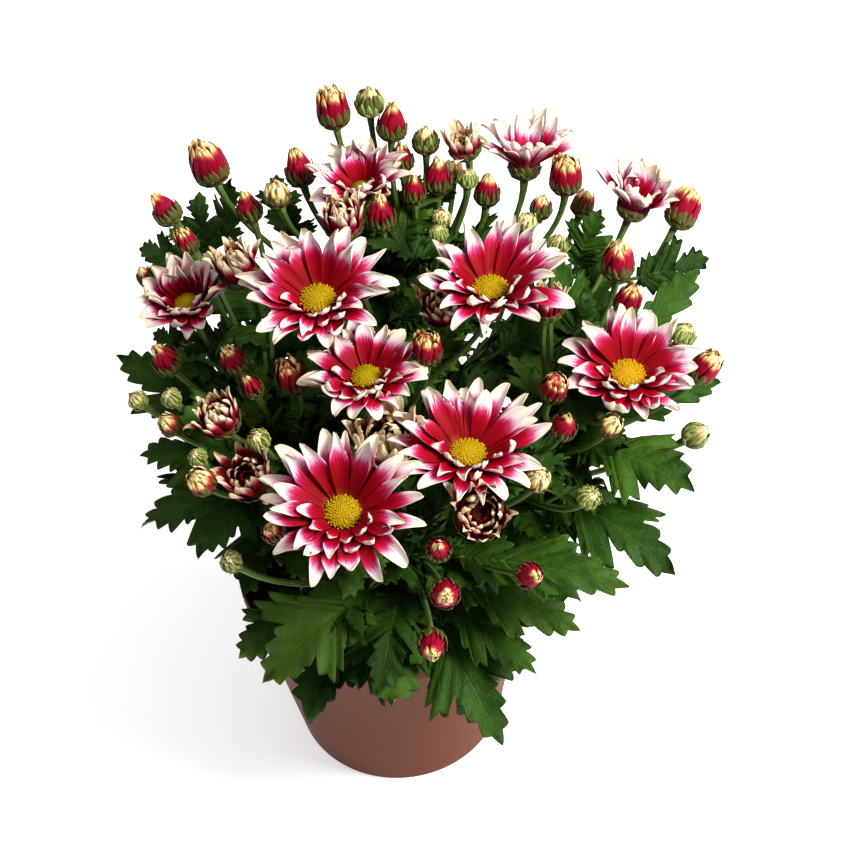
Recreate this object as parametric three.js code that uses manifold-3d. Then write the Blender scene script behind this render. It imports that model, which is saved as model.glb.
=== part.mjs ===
// A potted chrysanthemum: five rooted cuttings in a round plastic nursery pot,
// branching into a dome of daisy-like flowers, half-open flowers and buds.
// Millimetres, +Z up. The origin is the centre of the pot's underside.

import * as THREE from 'three';
import { mergeVertices } from 'three/addons/utils/BufferGeometryUtils.js';
import Module from 'manifold-3d';

const wasm = await Module();
wasm.setup();

// ---------------------------------------------------------------- dimensions

const CLEARANCE = 0.35; // left between two pieces that touch on the real plant

const POT = {
  height: 122,
  baseRadius: 51,
  rimRadius: 70,
  bandHeight: 11, // the stiffening band under the lip
  bandStep: 2.2, // how far the band stands out of the side wall
  wall: 1.8,
  floor: 2.6,
  footRound: 1.5,
  sides: 44,
};
const DRAIN = { count: 4, radius: 6.5, ring: 33, sides: 12 };
const SOIL = { top: 104, crown: 2, sides: 36 };

const TRUNK = { radius: 2.8, sides: 7, steps: 7 };
const BRANCH = { radius: 1.3, sides: 5, steps: 5, slope: 0.45, drop: 58 };

// Where each cutting leaves the soil, and where its main stem ends.
const STEMS = {
  centre: { foot: [2, 2], crown: [18, 0, 225] },
  front: { foot: [8, -25], crown: [14, -54, 190] },
  left: { foot: [-26, 4], crown: [-46, 4, 200] },
  right: { foot: [28, 0], crown: [82, 0, 190] },
  back: { foot: [2, 28], crown: [24, 62, 215] },
};

// Open flowers. at: centre of the yellow disc; bearing and tilt: which way, and how
// far from upright, the flower faces; reach: length of a ray from the centre;
// rise: how steeply the rays stand up from the disc, in degrees.
const FLOWERS = [
  { stem: 'centre', at: [-16, -2, 298], bearing: 240, tilt: 8, reach: 32, rise: 18 },
  { stem: 'centre', at: [55, -2, 296], bearing: 60, tilt: 4, reach: 32, rise: 20 },
  { stem: 'centre', at: [1, -28, 277], bearing: 150, tilt: 4, reach: 27, rise: 16 },
  { stem: 'right', at: [110, -20, 256], bearing: 320, tilt: 10, reach: 31, rise: 18 },
  { stem: 'front', at: [40, -62, 264], bearing: 0, tilt: 5, reach: 33, rise: 19 },
  { stem: 'front', at: [-12, -84, 260], bearing: 268, tilt: 19, reach: 35, rise: 14 },
  { stem: 'left', at: [-75, 38, 260], bearing: 200, tilt: 7, reach: 25, rise: 34 },
  { stem: 'back', at: [4, 70, 289], bearing: 170, tilt: 8, reach: 27, rise: 22 },
  { stem: 'back', at: [77, 90, 276], bearing: 80, tilt: 30, reach: 31, rise: 28 },
  { stem: 'right', at: [124, 75, 260], bearing: 30, tilt: 24, reach: 26, rise: 38 },
  { stem: 'back', at: [-32, 108, 188], bearing: 105, tilt: 52, reach: 28, rise: 20 },
  { stem: 'back', at: [70, 110, 184], bearing: 70, tilt: 52, reach: 26, rise: 20 },
];

// Flowers that are still half closed, with their rays curled over the middle.
// at: centre of the head; girth: its radius.
const HALF_OPEN = [
  { stem: 'left', at: [-51, 38, 281], bearing: 180, tilt: 12, girth: 10 },
  { stem: 'centre', at: [-4, 42, 299], bearing: 90, tilt: 6, girth: 9 },
  { stem: 'centre', at: [35, 4, 283], bearing: 250, tilt: 18, girth: 10.5 },
  { stem: 'front', at: [7, -50, 262], bearing: 270, tilt: 20, girth: 12.5 },
  { stem: 'left', at: [-51, -56, 254], bearing: 240, tilt: 22, girth: 11 },
  { stem: 'left', at: [-61, -35, 268], bearing: 220, tilt: 16, girth: 9.5 },
  { stem: 'front', at: [43, -88, 257], bearing: 280, tilt: 34, girth: 12 },
  { stem: 'right', at: [79, 5, 277], bearing: 20, tilt: 10, girth: 8 },
  { stem: 'back', at: [50, 84, 298], bearing: 140, tilt: 14, girth: 8 },
];

// Closed buds. at: centre of the bud; girth: its radius.
const BUDS = [
  { stem: 'back', at: [-61, 87, 293], bearing: 150, tilt: 14, girth: 8.5 },
  { stem: 'left', at: [-82, 78, 277], bearing: 150, tilt: 34, girth: 6.5 },
  { stem: 'back', at: [-5, 98, 309], bearing: 110, tilt: 12, girth: 7.5 },
  { stem: 'back', at: [11, 99, 312], bearing: 80, tilt: 6, girth: 6.5 },
  { stem: 'back', at: [20, 91, 305], bearing: 60, tilt: 12, girth: 7 },
  { stem: 'back', at: [94, 78, 277], bearing: 70, tilt: 8, girth: 7.5 },
  { stem: 'right', at: [113, 42, 258], bearing: 60, tilt: 10, girth: 7.5 },
  { stem: 'right', at: [145, 70, 258], bearing: 40, tilt: 40, girth: 7.5 },
  { stem: 'right', at: [144, -8, 241], bearing: 0, tilt: 30, girth: 6.5 },
  { stem: 'right', at: [141, -16, 207], bearing: 345, tilt: 44, girth: 6 },
  { stem: 'front', at: [26, -106, 229], bearing: 272, tilt: 46, girth: 6.5 },
  { stem: 'front', at: [61, -98, 226], bearing: 300, tilt: 46, girth: 6 },
  { stem: 'front', at: [19, -110, 200], bearing: 270, tilt: 66, girth: 6.5 },
];

// Leaves. node: height on the main stem where the stalk leaves it; tip: end of the
// middle lobe; width: across the widest lobes; arch: how far the midrib bows up;
// twist: roll about the midrib, in degrees.
const LEAVES = [
  { stem: 'right', node: 178, tip: [150, 48, 244], width: 38, arch: 10, twist: 10 },
  { stem: 'right', node: 165, tip: [156, 12, 208], width: 36, arch: 16, twist: -8 },
  { stem: 'right', node: 182, tip: [136, -48, 208], width: 46, arch: 14, twist: -12 },
  { stem: 'right', node: 160, tip: [125, -72, 184], width: 42, arch: 16, twist: -10 },
  { stem: 'front', node: 178, tip: [102, -94, 208], width: 34, arch: 14, twist: 10 },
  { stem: 'front', node: 160, tip: [82, -92, 176], width: 34, arch: 14, twist: 8 },
  { stem: 'front', node: 150, tip: [62, -102, 160], width: 32, arch: 12, twist: 6 },
  { stem: 'front', node: 140, tip: [46, -114, 126], width: 44, arch: 20, twist: 4 },
  { stem: 'front', node: 148, tip: [-6, -104, 156], width: 38, arch: 16, twist: -6 },
  { stem: 'front', node: 168, tip: [-56, -90, 152], width: 48, arch: 22, twist: -10 },
  { stem: 'left', node: 150, tip: [-70, -64, 168], width: 38, arch: 14, twist: 12 },
  { stem: 'left', node: 172, tip: [-78, -56, 200], width: 34, arch: 12, twist: 10 },
  { stem: 'left', node: 162, tip: [-104, -28, 190], width: 40, arch: 14, twist: 6 },
  { stem: 'left', node: 178, tip: [-104, 4, 200], width: 38, arch: 12, twist: 0 },
  { stem: 'left', node: 188, tip: [-110, 34, 234], width: 34, arch: 8, twist: -8 },
  { stem: 'back', node: 186, tip: [-94, 72, 254], width: 34, arch: 8, twist: 10 },
  { stem: 'left', node: 150, tip: [-92, 84, 190], width: 40, arch: 14, twist: -10 },
  { stem: 'back', node: 160, tip: [16, 126, 176], width: 42, arch: 16, twist: 0 },
  { stem: 'right', node: 152, tip: [118, 96, 200], width: 40, arch: 14, twist: -6 },
];
const LEAF = { thickness: 1.1, stalkWidth: 2.4, stalkShare: 0.34 };

// ----------------------------------------------------------------- materials

const finish = (color, roughness) => new THREE.MeshStandardMaterial({ color, roughness, metalness: 0 });
const LOOK = {
  pot: finish(0x8a5849, 0.45),
  soil: finish(0x2c2019, 0.95),
  stem: finish(0x5f7a35, 0.6),
  leaf: finish(0x2f4f1a, 0.55),
  ray: finish(0xb3123f, 0.6),
  curled: finish(0xd9b184, 0.65),
  bud: finish(0x9c2a3c, 0.6),
};

// ------------------------------------------------------------ solids and cuts

// A closed three.js geometry as a manifold solid.
function solidOf(geometry) {
  const bare = geometry.clone();
  bare.deleteAttribute('normal');
  bare.deleteAttribute('uv');
  const merged = mergeVertices(bare, 1e-4);
  const mesh = new wasm.Mesh({
    numProp: 3,
    vertProperties: new Float32Array(merged.attributes.position.array),
    triVerts: new Uint32Array(merged.index.array),
  });
  return new wasm.Manifold(mesh);
}

function geometryOf(solid) {
  const mesh = solid.getMesh();
  const geometry = new THREE.BufferGeometry();
  geometry.setAttribute('position', new THREE.BufferAttribute(mesh.vertProperties, 3));
  geometry.setIndex(new THREE.BufferAttribute(mesh.triVerts, 1));
  geometry.computeVertexNormals();
  return geometry;
}

const biggestBody = (solid) =>
  solid.decompose().reduce((best, body) => (body.volume() > best.volume() ? body : best));

const vector = ([x, y, z]) => new THREE.Vector3(x, y, z);

// The unit vector that leans by tilt degrees from upright towards a bearing.
function facing({ bearing, tilt }) {
  const b = THREE.MathUtils.degToRad(bearing);
  const t = THREE.MathUtils.degToRad(tilt);
  return new THREE.Vector3(Math.sin(t) * Math.cos(b), Math.sin(t) * Math.sin(b), Math.cos(t));
}

// Turns a shape made along +Z to face along an axis and moves it into place.
function place(geometry, axis, at) {
  const turn = new THREE.Quaternion().setFromUnitVectors(new THREE.Vector3(0, 0, 1), axis);
  return geometry.applyQuaternion(turn).translate(at.x, at.y, at.z);
}

// A profile of [radius, height] points turned about +Z.
function turned(profile, sides) {
  const points = profile.map(([radius, height]) => new THREE.Vector2(radius, height));
  return new THREE.LatheGeometry(points, sides).rotateX(Math.PI / 2);
}

function rod(path, radius, sides, steps) {
  const section = new THREE.Shape(
    Array.from({ length: sides }, (_, i) => {
      const angle = (2 * Math.PI * i) / sides;
      return new THREE.Vector2(radius * Math.cos(angle), radius * Math.sin(angle));
    }),
  );
  return new THREE.ExtrudeGeometry(section, { steps, bevelEnabled: false, extrudePath: path });
}

// --------------------------------------------------------------- pot and soil

const potSlope = (POT.rimRadius - POT.bandStep - POT.baseRadius) / (POT.height - POT.bandHeight);
const potOuter = (z) => POT.baseRadius + potSlope * z;
const potInner = (z) => potOuter(z) - POT.wall;

function makePot() {
  const bandFoot = POT.height - POT.bandHeight;
  const lip = POT.rimRadius - POT.wall;
  const profile = [
    [0, 0],
    [POT.baseRadius - POT.footRound, 0],
    [potOuter(POT.footRound), POT.footRound],
    [potOuter(bandFoot), bandFoot],
    [POT.rimRadius - 0.4, bandFoot + 0.8],
    [POT.rimRadius, POT.height - 0.8],
    [POT.rimRadius - 0.6, POT.height],
    [lip + 0.6, POT.height],
    [lip, POT.height - 0.8],
    [lip - 0.4, bandFoot + POT.wall + 1],
    [potInner(bandFoot), bandFoot],
    [potInner(POT.floor), POT.floor],
    [0, POT.floor],
  ];
  let pot = solidOf(turned(profile, POT.sides));
  for (let i = 0; i < DRAIN.count; i++) {
    const angle = (2 * Math.PI * (i + 0.5)) / DRAIN.count;
    const hole = new THREE.CylinderGeometry(DRAIN.radius, DRAIN.radius, 4 * POT.floor, DRAIN.sides)
      .rotateX(Math.PI / 2)
      .translate(DRAIN.ring * Math.cos(angle), DRAIN.ring * Math.sin(angle), 0);
    pot = pot.subtract(solidOf(hole));
  }
  return pot;
}

function makeSoil() {
  const bottom = POT.floor + CLEARANCE;
  const profile = [
    [0, bottom],
    [potInner(bottom) - CLEARANCE, bottom],
    [potInner(SOIL.top) - CLEARANCE, SOIL.top],
    [0.55 * potInner(SOIL.top), SOIL.top + SOIL.crown],
    [0, SOIL.top + SOIL.crown],
  ];
  return solidOf(turned(profile, SOIL.sides));
}

// ---------------------------------------------------------------------- stems

// The main stem rises from the soil nearly upright, then leans out to its crown.
function trunkPath({ foot, crown }) {
  const start = new THREE.Vector3(foot[0], foot[1], SOIL.top + SOIL.crown + CLEARANCE);
  const end = vector(crown);
  const rise = new THREE.Vector3(0, 0, 0.4 * (end.z - start.z));
  const lean = end.clone().sub(start).multiplyScalar(0.4);
  return new THREE.CubicBezierCurve3(start, start.clone().add(rise), end.clone().sub(lean), end);
}

// The point of a main stem that is nearest to a height.
function pointAtHeight(path, height) {
  const points = path.getPoints(60);
  return points.reduce((best, p) => (Math.abs(p.z - height) < Math.abs(best.z - height) ? p : best));
}

// A side branch leaves the main stem below its head and arrives along the head's axis.
function branchPath(stem, seat, axis) {
  const trunk = trunkPath(STEMS[stem]);
  const crown = vector(STEMS[stem].crown);
  const reach = Math.hypot(seat.x - crown.x, seat.y - crown.y);
  const start = pointAtHeight(trunk, seat.z - BRANCH.drop - BRANCH.slope * reach);
  const span = start.distanceTo(seat);
  const leave = start.clone().add(new THREE.Vector3(0, 0, 0.3 * span));
  const arrive = seat.clone().addScaledVector(axis, -0.35 * span);
  return new THREE.CubicBezierCurve3(start, leave, arrive, seat);
}

// One cutting: its main stem and every branch that carries a head, grown together.
function makeStem(stem, heads, grow = 0) {
  const trunk = rod(trunkPath(STEMS[stem]), TRUNK.radius + grow, TRUNK.sides, TRUNK.steps);
  let solid = solidOf(trunk);
  for (const head of heads.filter((one) => one.stem === stem)) {
    const seat = head.seat.clone().addScaledVector(head.axis, -CLEARANCE);
    const path = branchPath(stem, seat, head.axis);
    solid = solid.add(solidOf(rod(path, BRANCH.radius + grow, BRANCH.sides, BRANCH.steps)));
  }
  return solid;
}

// ---------------------------------------------------------------------- heads

const SIDES = { flower: 18, halfOpen: 12, bud: 10 };
const CALYX = { flower: 7, foot: 2.6 }; // depth under the disc, radius of the stem's seat

// An open flower: a shallow dish of rays on a green cup, with the disc in the middle.
function flowerShape({ reach, rise }, grow) {
  const slope = Math.tan(THREE.MathUtils.degToRad(rise));
  const at = (share) => share * reach * Math.cos(Math.atan(slope));
  const skin = 0.8 + grow;
  const profile = [
    [0, -CALYX.flower - grow],
    [CALYX.foot + grow, -CALYX.flower - grow],
    [6 + grow, -2.5],
    [at(0.5), at(0.42) * slope - skin],
    [at(1) + grow, at(1) * slope - skin],
    [at(1) + grow, at(1) * slope + skin],
    [at(0.5), at(0.42) * slope + skin],
    [6, 1.6 + grow],
    [0, 2.6 + grow],
  ];
  return turned(profile, SIDES.flower);
}

// A half-open flower: an egg-shaped cup with a flattened, curled-in top.
function cupShape({ girth }, grow) {
  const g = girth + grow;
  const profile = [
    [0, -g],
    [CALYX.foot + grow, -g],
    [0.75 * g, -0.55 * g],
    [g, 0],
    [0.92 * g, 0.4 * g],
    [0.5 * g, 0.62 * g],
    [0, 0.6 * g],
  ];
  return turned(profile, SIDES.halfOpen);
}

// A closed bud: a rounded cup drawn up to a blunt point.
function budShape({ girth }, grow) {
  const g = girth + grow;
  const profile = [
    [0, -g],
    [CALYX.foot * 0.8 + grow, -g],
    [0.85 * g, -0.55 * g],
    [g, 0.05 * g],
    [0.72 * g, 0.85 * g],
    [0.3 * g, 1.35 * g],
    [0, 1.4 * g],
  ];
  return turned(profile, SIDES.bud);
}

// Adds the numbered name, the axis and the seat to each head of one kind.
function headsOf(kind, list, shape, depth, look) {
  return list.map((one, i) => {
    const axis = facing(one);
    const centre = vector(one.at);
    const seat = centre.clone().addScaledVector(axis, -depth(one));
    const solid = (grow = 0) => solidOf(place(shape(one, grow), axis, centre));
    const name = `${kind}_${String(i + 1).padStart(2, '0')}`;
    return { ...one, name, axis, seat, solid, look };
  });
}

const heads = [
  ...headsOf('flower', FLOWERS, flowerShape, () => CALYX.flower, LOOK.ray),
  ...headsOf('half_open_flower', HALF_OPEN, cupShape, ({ girth }) => girth, LOOK.curled),
  ...headsOf('bud', BUDS, budShape, ({ girth }) => girth, LOOK.bud),
];

// --------------------------------------------------------------------- leaves

// Half of the outline of a lobed leaf: [share of the blade's length, share of half width].
const HALF_OUTLINE = [
  [0.06, 0.22],
  [0.16, 0.8],
  [0.3, 0.62],
  [0.34, 0.34],
  [0.52, 1.0],
  [0.64, 0.8],
  [0.66, 0.32],
  [0.82, 0.56],
  [0.9, 0.34],
];

function leafShape(leaf, grow) {
  const root = pointAtHeight(trunkPath(STEMS[leaf.stem]), leaf.node);
  const tip = vector(leaf.tip);
  const length = root.distanceTo(tip);
  const stalk = LEAF.stalkShare * length;
  const blade = length - stalk;
  const half = LEAF.stalkWidth / 2 + grow;
  const side = HALF_OUTLINE.map(([s, w]) => [stalk + s * blade, (w * leaf.width) / 2 + grow]);
  const right = [[0, half], [stalk, half], ...side];
  const left = right.map(([s, w]) => [s, -w]).reverse();
  const outline = new THREE.Shape(
    [...left, ...right, [length + grow, 0]].map(([s, w]) => new THREE.Vector2(s, w)),
  );
  const thickness = LEAF.thickness + 2 * grow;
  const flat = new THREE.ExtrudeGeometry(outline, { depth: thickness, bevelEnabled: false });
  flat.translate(0, 0, -thickness / 2);

  // Bow the midrib up, then lay the blade from root to tip with its twist.
  const position = flat.attributes.position;
  for (let i = 0; i < position.count; i++) {
    const s = position.getX(i) / length;
    position.setZ(i, position.getZ(i) + 4 * leaf.arch * s * (1 - s));
  }
  const along = tip.clone().sub(root).normalize();
  const across = new THREE.Vector3(0, 0, 1).cross(along).normalize();
  across.applyAxisAngle(along, THREE.MathUtils.degToRad(leaf.twist));
  const up = along.clone().cross(across);
  const frame = new THREE.Matrix4().makeBasis(along, across, up).setPosition(root);
  return flat.applyMatrix4(frame);
}

const leaves = LEAVES.map((leaf, i) => ({
  name: `leaf_${String(i + 1).padStart(2, '0')}`,
  solid: (grow = 0) => solidOf(leafShape(leaf, grow)),
  look: LOOK.leaf,
}));

// ------------------------------------------------------------------- assembly

const plant = new THREE.Group();
const obstacles = []; // every placed piece, a clearance fatter than it is

// Cuts a piece back from all that is already placed, and adds it to the plant.
function add(name, look, solid, fat) {
  const box = solid.boundingBox();
  let cut = solid;
  for (const other of obstacles) {
    const near = other.box;
    const apart = [0, 1, 2].some((k) => near.min[k] > box.max[k] || near.max[k] < box.min[k]);
    if (!apart) cut = cut.subtract(other.solid);
  }
  const mesh = new THREE.Mesh(geometryOf(biggestBody(cut)), look);
  mesh.name = name;
  plant.add(mesh);
  obstacles.push({ solid: fat, box: fat.boundingBox() });
}

const pot = makePot();
const soil = makeSoil();
for (const [name, look, solid] of [['pot', LOOK.pot, pot], ['soil', LOOK.soil, soil]]) {
  const mesh = new THREE.Mesh(geometryOf(solid), look);
  mesh.name = name;
  plant.add(mesh);
}

for (const stem of Object.keys(STEMS)) {
  add(`stem_${stem}`, LOOK.stem, makeStem(stem, heads), makeStem(stem, heads, CLEARANCE));
}
for (const { name, look, solid } of [...heads, ...leaves]) {
  add(name, look, solid(), solid(CLEARANCE));
}

export default plant;
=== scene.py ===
# %% [markdown]
# # A pot chrysanthemum
#
# The plant is five cuttings rooted in a brown plastic pot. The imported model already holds
# where the pot, the stems, each head and the outer leaves are. This script reads those
# places and grows the fine shapes there: rays, discs, scaly cups, lobed leaves and soil.
# All lengths are metres, and `MM` turns a maker's millimetres into them.

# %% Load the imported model
from collections import namedtuple

import bpy
import numpy as np
from mathutils import Matrix, Vector


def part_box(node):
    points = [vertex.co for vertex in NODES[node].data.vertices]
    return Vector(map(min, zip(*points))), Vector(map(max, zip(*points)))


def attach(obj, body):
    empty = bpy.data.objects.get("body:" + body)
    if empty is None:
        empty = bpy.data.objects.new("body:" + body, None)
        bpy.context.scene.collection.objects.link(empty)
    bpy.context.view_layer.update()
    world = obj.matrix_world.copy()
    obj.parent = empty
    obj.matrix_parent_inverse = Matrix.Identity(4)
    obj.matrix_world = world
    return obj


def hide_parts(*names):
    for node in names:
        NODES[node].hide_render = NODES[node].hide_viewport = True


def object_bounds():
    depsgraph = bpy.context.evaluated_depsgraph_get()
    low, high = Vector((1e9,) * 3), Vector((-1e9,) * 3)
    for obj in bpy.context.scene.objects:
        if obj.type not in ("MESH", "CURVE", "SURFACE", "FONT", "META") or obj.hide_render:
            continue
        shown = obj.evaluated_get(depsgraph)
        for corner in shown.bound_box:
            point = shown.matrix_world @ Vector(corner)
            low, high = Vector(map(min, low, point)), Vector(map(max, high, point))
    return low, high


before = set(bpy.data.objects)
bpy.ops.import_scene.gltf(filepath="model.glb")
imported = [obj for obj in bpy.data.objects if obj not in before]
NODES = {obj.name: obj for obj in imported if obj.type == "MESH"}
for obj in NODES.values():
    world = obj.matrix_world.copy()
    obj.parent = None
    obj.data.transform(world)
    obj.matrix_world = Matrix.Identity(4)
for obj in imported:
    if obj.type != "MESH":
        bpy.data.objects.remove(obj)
CAD_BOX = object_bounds()
MM = 0.001
UP = np.array([0, 0, 1.0])
print(len(NODES), "nodes in the packed model")

# %% [markdown]
# ## The view
#
# The plant stands on a pale floor and is seen from fairly high up, so the dome of flowers
# fills the picture and the pot looks short below it. The camera also leans over by `ROLL`.

# %% Camera
ELEVATION = np.radians(50)
ROLL = np.radians(-4.7)
DISTANCE = 1.0
TARGET = Vector((23.7, 0.0, 209.3)) * MM
FRAME_PIXELS = 851
FOCAL_PIXELS = 2273
SENSOR_MM = 36.0


def looking(at, aim):
    """A pose at a place that looks at an aim along its -Z, with its Y as upright as it can be."""
    return Matrix.Translation(at) @ (Vector(at) - Vector(aim)).to_track_quat("Z", "Y").to_matrix().to_4x4()


def linked(name, data):
    """A new object with its data, in the scene."""
    made = bpy.data.objects.new(name, data)
    bpy.context.scene.collection.objects.link(made)
    return made


camera = linked("camera", bpy.data.cameras.new("camera"))
camera.data.sensor_width = SENSOR_MM
camera.data.lens = SENSOR_MM * FOCAL_PIXELS / FRAME_PIXELS
camera.data.clip_start = 0.01
backwards = Vector((0, -np.cos(ELEVATION), np.sin(ELEVATION)))
camera.matrix_world = looking(TARGET + backwards * DISTANCE, TARGET) @ Matrix.Rotation(ROLL, 4, "Z")
bpy.context.scene.camera = camera
print("camera lens", round(camera.data.lens, 1), "mm")

# %% [markdown]
# ## One kind of mesh for everything
#
# A petal, a leaf, a stem and a pot are all closed tubes: rings of points, row after row,
# with the two ends shut. On a stem the ring is round, and on a petal it runs over the top
# from the left edge to the right edge and back underneath. So one function can join the
# points of any of them, and it does so for hundreds of equal tubes at once.
#
# Every point also carries `spot`: how far along the tube it is, how far across, and
# whether it is on the upper face. The colours are painted by that later on, and by
# `chance`, one number for each tube, so that no two of them look quite alike.

# %% Tubes
def unit(vectors):
    return vectors / np.linalg.norm(vectors, axis=-1, keepdims=True)


def smooth(x, low=0.0, high=1.0):
    """0 below low, 1 above high, and 3x^2 - 2x^3 of the share of the way between them."""
    x = np.clip((x - low) / (high - low), 0, 1)
    return x * x * (3 - 2 * x)


def tubes(points, spot, chance):
    """Closed tubes. points is (tubes, rows, ring, 3), and chance is one number a tube.

    Each ring is joined to the next by quads, and each end is shut by a fan of triangles
    around the middle of its ring. Faces look outwards where along x around points out. spot
    is as large as points, or is spread over them.
    """
    count, rows, ring = points.shape[:3]
    size, row, step = rows * ring, ring * np.arange(rows - 1)[:, None], np.arange(ring)
    after = (step + 1) % ring
    quads = np.stack([row + step, row + ring + step, row + ring + after, row + after], -1)
    low_end = [0 * step + size, step, after]
    high_end = [0 * step + size + 1, size - ring + after, size - ring + step]
    ends = np.concatenate([low_end, high_end], 1).T
    shift = (np.arange(count) * (size + 2))[:, None, None]

    def closed(values):
        middles = [values[:, :1].mean(2), values[:, -1:].mean(2)]
        return np.concatenate([values.reshape(count, -1, 3), *middles], 1).reshape(-1, 3)

    return {
        "points": closed(points),
        "spot": closed(np.broadcast_to(spot, points.shape)),
        "chance": np.repeat(np.broadcast_to(chance, count), size + 2),
        "quads": (quads.reshape(-1, 4) + shift).reshape(-1, 4),
        "ends": (ends + shift).reshape(-1, 3),
    }


def joined(parts):
    """Several batches of tubes as one, with the corner numbers moved on."""
    shift = np.cumsum([0] + [len(part["points"]) for part in parts[:-1]])
    both = {key: np.concatenate([part[key] for part in parts]) for key in ("points", "spot", "chance")}
    for key in ("quads", "ends"):
        both[key] = np.concatenate([part[key] + by for part, by in zip(parts, shift)])
    return both


total_triangles = 0


def piece(name, parts, finish, nodes=()):
    """A mesh object from batches of tubes. It rides on the plant and stands for some nodes."""
    global total_triangles
    parts = joined(parts)
    quads, ends = parts["quads"], parts["ends"]
    corners = np.concatenate([quads.ravel(), ends.ravel()]).astype(np.int32)
    starts = np.concatenate([np.arange(len(quads)) * 4, quads.size + np.arange(len(ends)) * 3])
    mesh = bpy.data.meshes.new(name)
    mesh.vertices.add(len(parts["points"]))
    mesh.vertices.foreach_set("co", parts["points"].astype(np.float32).ravel())
    mesh.loops.add(len(corners))
    mesh.loops.foreach_set("vertex_index", corners)
    mesh.polygons.add(len(starts))
    mesh.polygons.foreach_set("loop_start", starts.astype(np.int32))
    mesh.update(calc_edges=True)
    mesh.shade_smooth()
    for key, kind, value in (("spot", "FLOAT_VECTOR", "vector"), ("chance", "FLOAT", "value")):
        data = mesh.attributes.new(key, kind, "POINT").data
        data.foreach_set(value, parts[key].astype(np.float32).ravel())
    mesh.materials.append(finish)
    made = linked(name, mesh)
    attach(made, "root")
    if nodes:
        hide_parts(*nodes)
    total_triangles += 2 * len(quads) + len(ends)
    return made


def so_far(what):
    print(f"{what}: {total_triangles} triangles so far")


# %% [markdown]
# ## Where each head is
#
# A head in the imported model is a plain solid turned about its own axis: a dish for an open
# flower, an egg for a bud. Its axis is a principal direction of its surface, the flattest
# one for a dish and the longest one for a bud. Its lowest point along the axis is where
# the stem arrives, and its widest ring gives its size. So nothing has to be measured twice.

# %% Read a head
Head = namedtuple("Head", "node axis seat top radius")


def surface_of(node):
    """Corners, and each triangle's middle and area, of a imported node."""
    mesh = NODES[node].data
    points = np.empty(len(mesh.vertices) * 3, np.float32)
    mesh.vertices.foreach_get("co", points)
    points = points.reshape(-1, 3).astype(float)
    corners = np.empty(len(mesh.loops), np.int32)
    mesh.loops.foreach_get("vertex_index", corners)
    a, b, c = (points[corners.reshape(-1, 3)[:, i]] for i in range(3))
    area = np.linalg.norm(np.cross(b - a, c - a), axis=1) / 2
    return points, (a + b + c) / 3, area


def spread_of(middles, area):
    """Area-weighted middle of a surface and its three directions, flattest first."""
    middle = (area[:, None] * middles).sum(0) / area.sum()
    away = middles - middle
    spread = np.einsum("i,ij,ik->jk", area, away, away)
    return middle, np.linalg.eigh(spread)[1].T


def head_of(node, axis_rank):
    """The axis, the seat where the stem arrives, and the size of a turned head."""
    points, middles, area = surface_of(node)
    middle, directions = spread_of(middles, area)
    axis = directions[axis_rank] * np.sign(directions[axis_rank][2])
    height = (points - middle) @ axis
    radius = np.linalg.norm(points - middle - height[:, None] * axis, axis=1)
    return Head(node, axis, middle + height.min() * axis, height.max() - height.min(), radius.max())


def named(kind):
    return sorted(name for name in NODES if name.startswith(kind))


FLATTEST, LONGEST = 0, 2
flowers = [head_of(node, FLATTEST) for node in named("flower_")]
half_open = [head_of(node, FLATTEST) for node in named("half_open_flower_")]
buds = [head_of(node, LONGEST) for node in named("bud_")]
print(len(flowers), "flowers,", len(half_open), "half-open flowers,", len(buds), "buds")

# %% [markdown]
# ## One ray
#
# What looks like a petal is a ray floret: a strap that leaves the disc, widens to about
# two thirds of its length and closes to a tip. It rises from the disc at some angle, that
# angle changes along the way, and near the tip it may curl in or out. Across, it is a
# shallow channel that can pinch shut towards the tip. The same strap, held upright and
# bent inwards, wraps a bud, and made short and stiff it is one green scale of the cup
# under a head. So one function makes all of them, and only the numbers differ.

# %% Rays
def strap_outline(s, peak, neck, blunt):
    """Share of the half width along a strap: a sine up to s = peak, then (1 - u^blunt)^0.5."""
    before = neck + (1 - neck) * np.sin(np.pi / 2 * np.clip(s / peak, 0, 1))
    after = np.clip((s - peak) / (1 - peak), 0, 1)
    return before * np.maximum(1 - after**blunt, 0.0015) ** 0.5


def strap_ring(across, gather=0.5):
    """Over the upper face from t = -1 to 1 and back below: t, the face, and the thickness.

    gather mixes an even t with sin(pi t / 2), which puts more points close to the edges.
    """
    t = np.linspace(-1, 1, across)
    t = (1 - gather) * t + gather * np.sin(np.pi / 2 * t)
    t = np.concatenate([t, t[-2:0:-1]])
    face = np.concatenate([np.ones(across), np.zeros(across - 2)])
    return t, face, np.sqrt(np.clip(1 - t**2, 0, 1))


def spots(along, across, face):
    """The spots of tubes whose rows are along[..., row], and whose ring is across and face."""
    return np.stack(np.broadcast_arrays(along[..., None], across, face), -1)


def strap_rows(rows):
    """Places along a strap from 0 to 1, closer together towards its tip."""
    even = np.linspace(0, 1, rows)[None, :]
    return 0.45 * even + 0.55 * np.sin(even * np.pi / 2)


def columns(*values):
    """Each value as a column with one row a strap, all of the same length."""
    shape = np.broadcast(*values).shape
    return [np.broadcast_to(value, shape)[:, None] for value in values]


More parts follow.
